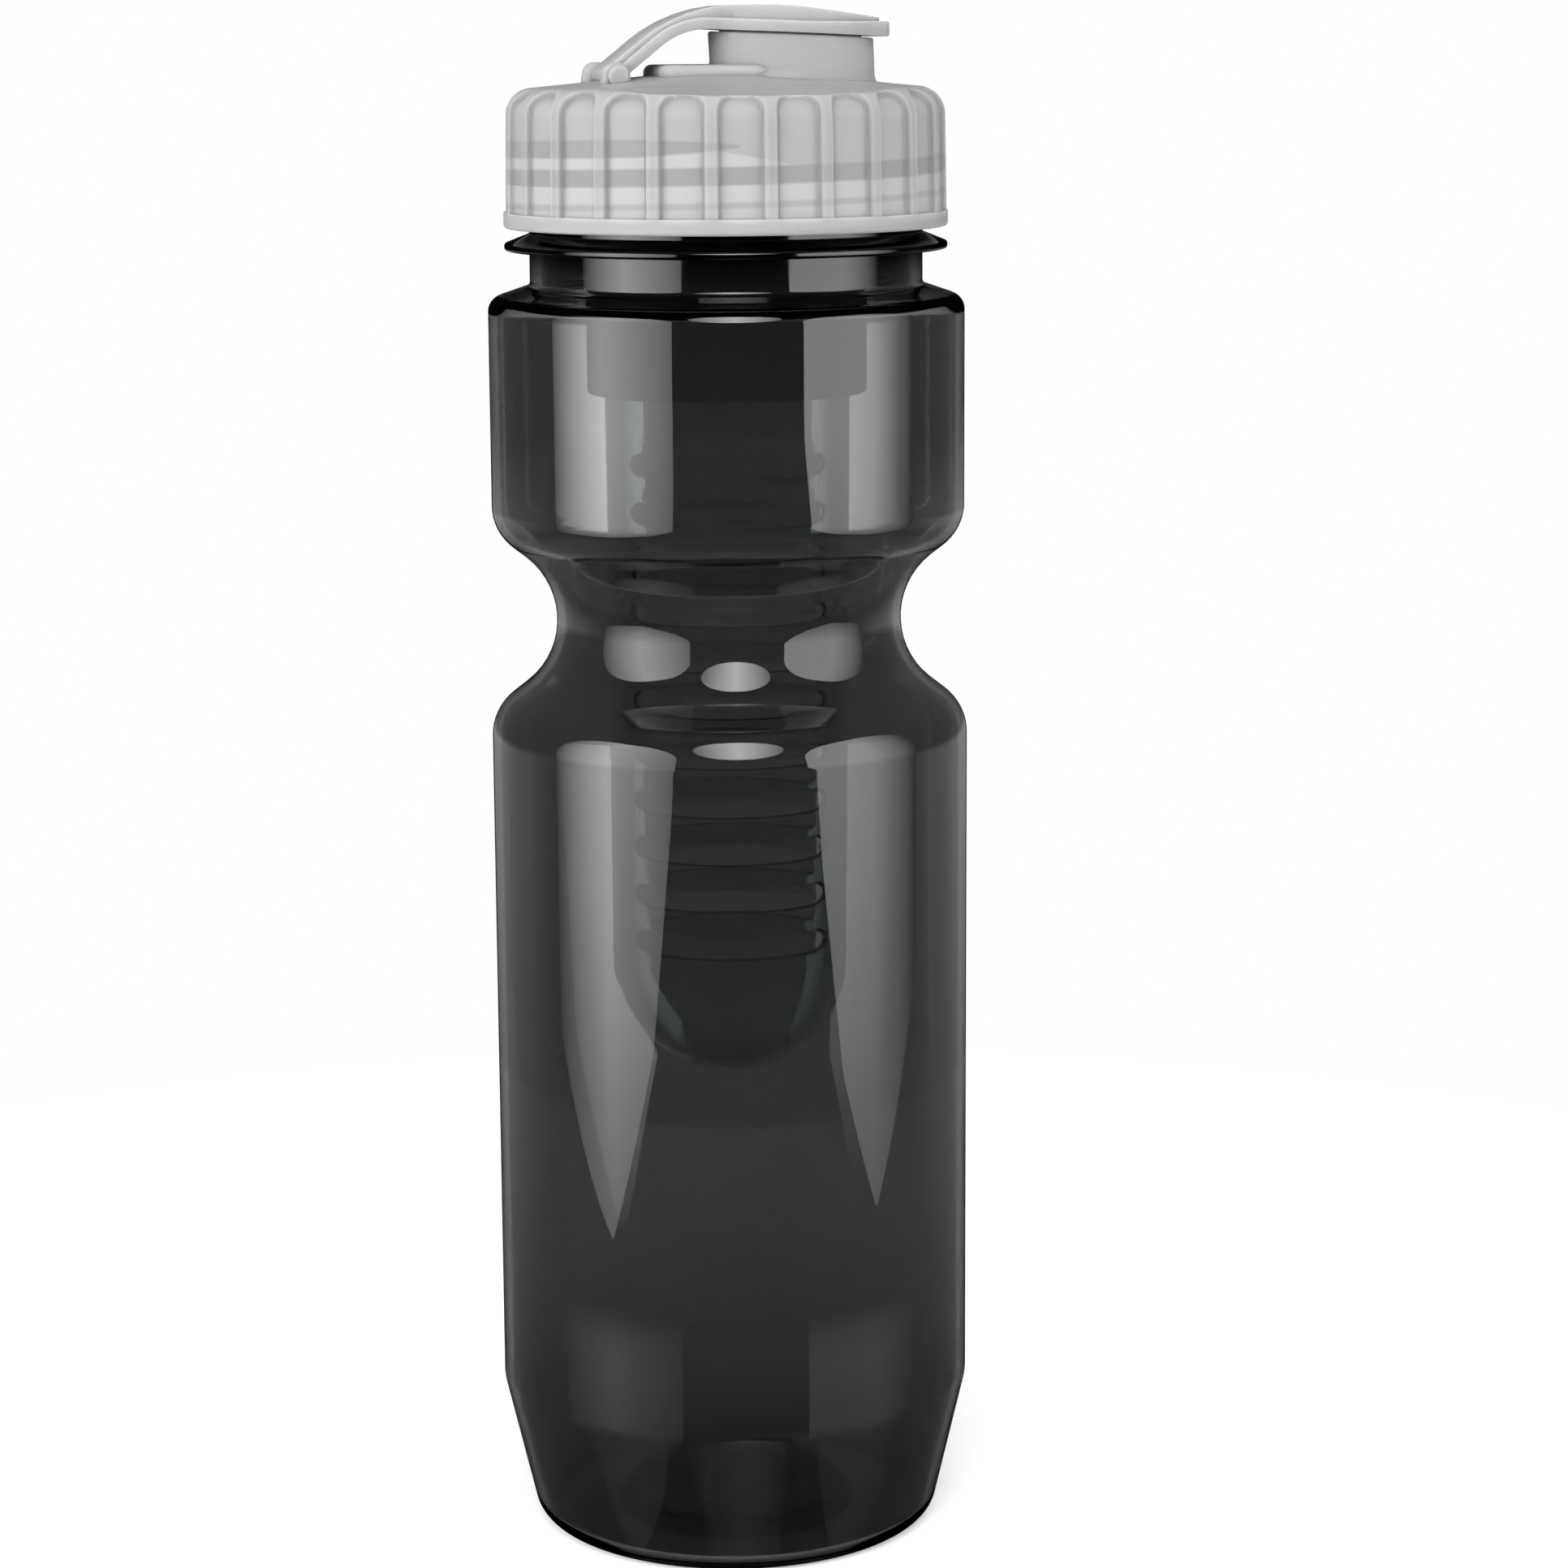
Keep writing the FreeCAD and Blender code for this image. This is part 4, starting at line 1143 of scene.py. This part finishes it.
class BuildInfuser(bpy.types.Operator):
    """Builds the collar and the slotted tube, and finishes the gasket"""

    bl_idname = "infuser_bottle.build_infuser"
    bl_label = "Build infuser"

    def execute(self, context):
        settings = context.scene.infuser_bottle
        s = settings.infuser
        finish = settings.finish
        frosted = frosted_polypropylene("frosted_collar", finish.collar)
        handed_in(collar_ring(s), "collar", "infuser_collar", frosted)
        handed_in(tube_wall(s), "tube", "infuser_tube", clear_polystyrene(finish))
        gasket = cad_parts["lid_gasket"]
        gasket.data.materials.clear()
        gasket.data.materials.append(silicone_rubber(finish))
        return {"FINISHED"}


# Stage


WHITE = (1, 1, 1, 1)
BLACK = (0, 0, 0, 1)
CAMERA_LENS = 91.9
CAMERA_SENSOR = 36.0
CAMERA_DISTANCE = 617 * MM
CAMERA_HEIGHT = 233.5 * MM
CAMERA_TURN = radians(-11.5)
CAMERA_TILT = radians(10.57)
CAMERA_YAW = radians(0.78)
CAMERA_ROLL = radians(-0.33)
LEFT_STRENGTH = 5.3
RIGHT_STRENGTH = 3.5
TOP_STRENGTH = 8.0
CARD_STRENGTH = 0.35
FILL_STRENGTH = 9.0
SOFT_STRENGTH = 0.6
FLOOR_RADIUS = 300 * MM
FLOOR_GLOW = 0.28
TABLE_RADIUS = 160 * MM
TABLE_GLOSS = 0.25
TABLE_FADE = 0.78
ROOM_RADIUS = 2.0


def studio_piece(name, material, mirrored):
    """Finishes the object just added: mirrored by the bottle's gloss alone, or seen by all but the gloss."""
    piece = bpy.context.object
    piece.name = name
    piece.data.materials.append(material)
    piece.visible_glossy = mirrored
    for ray in ("camera", "transmission", "diffuse", "shadow"):
        setattr(piece, "visible_" + ray, not mirrored)
    return piece


def studio_floor(finish):
    """The white floor, which glows a little to the eye so that only the bottle's shadow shows."""
    bpy.ops.mesh.primitive_circle_add(vertices=96, radius=FLOOR_RADIUS, fill_type="NGON")
    material, tree, shader = new_material(
        "studio_floor", Base_Color=rgba(finish.floor), Roughness=0.6, Emission_Color=WHITE
    )
    path = add_node(tree, "LightPath").outputs
    seen = add_node(tree, "Math", path["Is Camera Ray"], path["Is Transmission Ray"], operation="MAXIMUM")
    glow = add_node(tree, "Math", seen, FLOOR_GLOW, operation="MULTIPLY")
    feed(shader.inputs["Emission Strength"], glow)
    return studio_piece("studio_floor", material, False)


def studio_table():
    """A dark table that only the bottle's gloss mirrors, less and less towards its edge."""
    bpy.ops.mesh.primitive_circle_add(
        vertices=96, radius=TABLE_RADIUS, fill_type="NGON", location=(0, 0, -1 * MM)
    )
    material, tree, shader = new_material("studio_table", Base_Color=BLACK, Roughness=0.02)
    axes = axes_of(tree)
    squares = [add_node(tree, "Math", axes[axis], 2, operation="POWER") for axis in ("X", "Y")]
    away = add_node(tree, "Math", *squares, operation="ADD")
    away = add_node(tree, "Math", away, operation="SQRT")
    fade_ends = (TABLE_FADE * TABLE_RADIUS, TABLE_RADIUS, 1.0, 0.0)
    inner = add_node(tree, "MapRange", away, *fade_ends, interpolation_type="SMOOTHSTEP")
    gloss = add_node(tree, "Math", inner, TABLE_GLOSS, operation="MULTIPLY")
    feed(shader.inputs["Specular IOR Level"], gloss)
    return studio_piece("studio_table", material, True)


def studio_room(finish):
    """A dark room that only the bottle's gloss mirrors."""
    bpy.ops.mesh.primitive_uv_sphere_add(segments=48, ring_count=24, radius=ROOM_RADIUS)
    material = new_material("studio_dark", Base_Color=rgba(finish.studio), Specular_IOR_Level=0.0)[0]
    return studio_piece("studio_dark", material, True)


def facing(turn, distance, height=0.0, tilt=0.0):
    """Pose of a thing that looks at the bottle; turn and tilt in degrees, turn to the right of the camera."""
    heading = CAMERA_TURN + radians(turn)
    pose = Matrix.Rotation(heading, 4, "Z") @ Matrix.Rotation(pi / 2 - radians(tilt), 4, "X")
    pose.translation = Vector((sin(heading), -cos(heading), 0)) * distance + UP * height
    return pose


def box(left, bottom, right, top, rounding):
    """Corners of a lamp with four sides."""
    places = ((left, bottom), (right, bottom), (right, top), (left, top))
    return [(x, y, rounding) for x, y in places]


def softbox(name, corners, pose, strength, fades=(), seen_through=False, mirrored=True):
    """A lamp drawn from its corners that fades along its own axes; one seen through lights nothing else."""
    piece = traced(name, [plan(x, y, rounding) for x, y, rounding in corners], True)
    bpy.ops.mesh.edge_face_add()
    bpy.ops.object.mode_set(mode="OBJECT")
    piece.matrix_world = pose
    material, tree, shader = new_material(
        name, Base_Color=BLACK, Specular_IOR_Level=0.0, Emission_Color=WHITE
    )
    level = strength
    for axis, start, end in fades:
        fade = add_node(tree, "MapRange", axes_of(tree)[axis], start, end)
        level = add_node(tree, "Math", fade, level, operation="MULTIPLY")
    feed(shader.inputs["Emission Strength"], level)
    piece.data.materials.append(material)
    piece.visible_camera = False
    piece.visible_shadow = False
    piece.visible_transmission = seen_through
    piece.visible_glossy = mirrored and not seen_through
    piece.visible_diffuse = not seen_through


def lamps_in_front():
    """The softboxes that the bottle mirrors, and a fill light that only lightens the frosted lid."""
    left = [
        (-0.46, 0.8, 0.4), (0.55, 0.8, 0.4), (0.55, 0.0, 0.1),
        (0.33, -0.12, 0.1), (0.0, -0.19, 0.05), (-0.46, -0.13, 0.03),
    ]
    fades = (("X", -0.5, 0.0), ("X", 0.85, 0.0), ("Y", -0.3, 0.1))
    softbox("softbox_left", left, facing(-60, 0.8), LEFT_STRENGTH, fades)
    right = [
        (-0.56, 0.8, 0.4), (0.42, 0.8, 0.4), (0.42, -0.1, 0.03), (0.02, -0.178, 0.05),
        (-0.25, -0.125, 0.05), (-0.42, -0.04, 0.05), (-0.56, 0.08, 0.05),
    ]
    fades = (("X", 0.4, 0.0), ("Y", -0.3, 0.1))
    softbox("softbox_right", right, facing(71, 0.8), RIGHT_STRENGTH, fades)
    disc = box(-0.33, -0.33, 0.33, 0.33, 0.32)
    fades = (("X", -0.42, 0.0), ("X", 0.42, 0.0))
    softbox("softbox_top", disc, facing(4.4, 0.75, 0.72, 38), TOP_STRENGTH, fades)
    fill = box(-0.25, -0.25, 0.25, 0.25, 0.2)
    softbox("fill_light", fill, facing(-22, 1.0, 0.4, 10), FILL_STRENGTH, mirrored=False)


def cards():
    """Cards beside the bottle that lighten its lower sides."""
    card = box(-0.7, -0.7, 0.7, 0.1, 0.02)
    for name, turn, outer, inner in (("card_left", -125, 0.7, 0.2), ("card_right", 125, -0.7, -0.2)):
        fades = (("X", outer, inner), ("Y", -0.25, 0.0), ("Y", 0.08, 0.0))
        softbox(name, card, facing(turn, 0.9), CARD_STRENGTH, fades)


def strips_behind():
    """Strip lights behind the bottle that show through its walls beside the infuser; in millimetres."""
    behind = facing(0, -60 * MM)
    strips = (
        ("strip_upper_left", 12.5, (-34, -22), (140, 141), (
            (-32, 150, 4), (-20.4, 150, 0), (-20.4, 190, 0), (-32, 190, 4),
        )),
        ("strip_upper_right", 9.0, (32, 22), (140, 141), (
            (20.4, 150, 0), (32, 150, 4), (32, 190, 4), (20.4, 190, 0),
        )),
        ("strip_lower_left", 7.5, (-34, -22), (10, 90), (
            (-32, 116, 4), (-21.6, 116, 0), (-21.6, 74, 6), (-13.6, 60, 2), (-20.5, 25, 1), (-29, 62, 30),
        )),
        ("strip_lower_right", 4.6, (32, 20), (10, 90), (
            (19.1, 116, 0), (31, 116, 4), (29.5, 66, 30), (23.6, 30, 1), (17.6, 60, 4), (18.6, 76, 4),
        )),
    )
    for name, strength, across, upward, places in strips:
        corners = [(x * MM, y * MM, rounding * MM) for x, y, rounding in places]
        fades = [(axis, start * MM, end * MM) for axis, (start, end) in (("X", across), ("Y", upward))]
        softbox(name, corners, behind, strength, fades, seen_through=True)


def studio_world(scene):
    """White to the eye and to the gloss, softer as a light."""
    world = bpy.data.worlds.new("studio_world")
    scene.world = world
    world.use_nodes = True
    tree = world.node_tree
    tree.nodes.clear()
    path = add_node(tree, "LightPath").outputs
    seen = add_node(tree, "Math", path["Is Camera Ray"], path["Is Transmission Ray"], operation="MAXIMUM")
    seen = add_node(tree, "Math", seen, path["Is Glossy Ray"], operation="MAXIMUM")
    soft = add_node(tree, "Background", WHITE, SOFT_STRENGTH)
    shown = add_node(tree, "Background", WHITE, 1.0)
    mix = add_node(tree, "MixShader", seen, soft, shown)
    add_node(tree, "OutputWorld", mix)


def photo_camera(scene):
    """The camera of the photograph, as fitted to the bottle's outline."""
    data = bpy.data.cameras.new("photo_camera")
    data.lens = CAMERA_LENS
    data.sensor_width = CAMERA_SENSOR
    camera = bpy.data.objects.new("photo_camera", data)
    scene.collection.objects.link(camera)
    pose = Matrix.Rotation(CAMERA_TURN - CAMERA_YAW, 4, "Z")
    pose = pose @ Matrix.Rotation(pi / 2 - CAMERA_TILT, 4, "X")
    pose = pose @ Matrix.Rotation(CAMERA_ROLL, 4, "Z")
    place = Vector((sin(CAMERA_TURN), -cos(CAMERA_TURN), 0)) * CAMERA_DISTANCE
    pose.translation = place + UP * CAMERA_HEIGHT
    camera.matrix_world = pose
    scene.camera = camera


class BuildStage(bpy.types.Operator):
    """Sets up the floor, the studio, the lamps and the camera"""

    bl_idname = "infuser_bottle.build_stage"
    bl_label = "Build stage"

    def execute(self, context):
        finish = context.scene.infuser_bottle.finish
        floor = studio_floor(finish)
        table = studio_table()
        studio = studio_room(finish)
        lamps_in_front()
        cards()
        strips_behind()
        studio_world(context.scene)
        photo_camera(context.scene)
        context.scene.view_settings.view_transform = "Standard"
        return {"FINISHED"}


class InfuserBottlePanel(bpy.types.Panel):
    """Sizes, colours and build steps in the sidebar"""

    bl_idname = "VIEW3D_PT_infuser_bottle"
    bl_label = "Infuser bottle"
    bl_space_type = "VIEW_3D"
    bl_region_type = "UI"
    bl_category = "Infuser bottle"

    def draw(self, context):
        settings = context.scene.infuser_bottle
        for group in ("bottle", "lid", "strap", "infuser", "finish"):
            box = self.layout.box()
            box.label(text=group.capitalize())
            for entry in getattr(settings, group).bl_rna.properties:
                if entry.identifier not in ("rna_type", "name"):
                    box.prop(getattr(settings, group), entry.identifier)
        for operator in OPERATORS:
            self.layout.operator(operator.bl_idname)


GROUPS = (BottleSizes, LidSizes, StrapSizes, InfuserSizes, Finish, InfuserBottle)
OPERATORS = (BuildBottle, BuildLid, BuildStrap, BuildInfuser, BuildStage)


def register():
    for item in (*GROUPS, *OPERATORS, InfuserBottlePanel):
        bpy.utils.register_class(item)
    bpy.types.Scene.infuser_bottle = PointerProperty(
        type=InfuserBottle, name="Infuser bottle", description="Sizes and colours of the infuser bottle"
    )


def unregister():
    del bpy.types.Scene.infuser_bottle
    for item in reversed((*GROUPS, *OPERATORS, InfuserBottlePanel)):
        bpy.utils.unregister_class(item)


def main():
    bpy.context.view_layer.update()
    register()
    bpy.ops.infuser_bottle.build_bottle()
    bpy.ops.infuser_bottle.build_lid()
    bpy.ops.infuser_bottle.build_strap()
    bpy.ops.infuser_bottle.build_infuser()
    bpy.ops.infuser_bottle.build_stage()


if __name__ == "__main__":
    main()
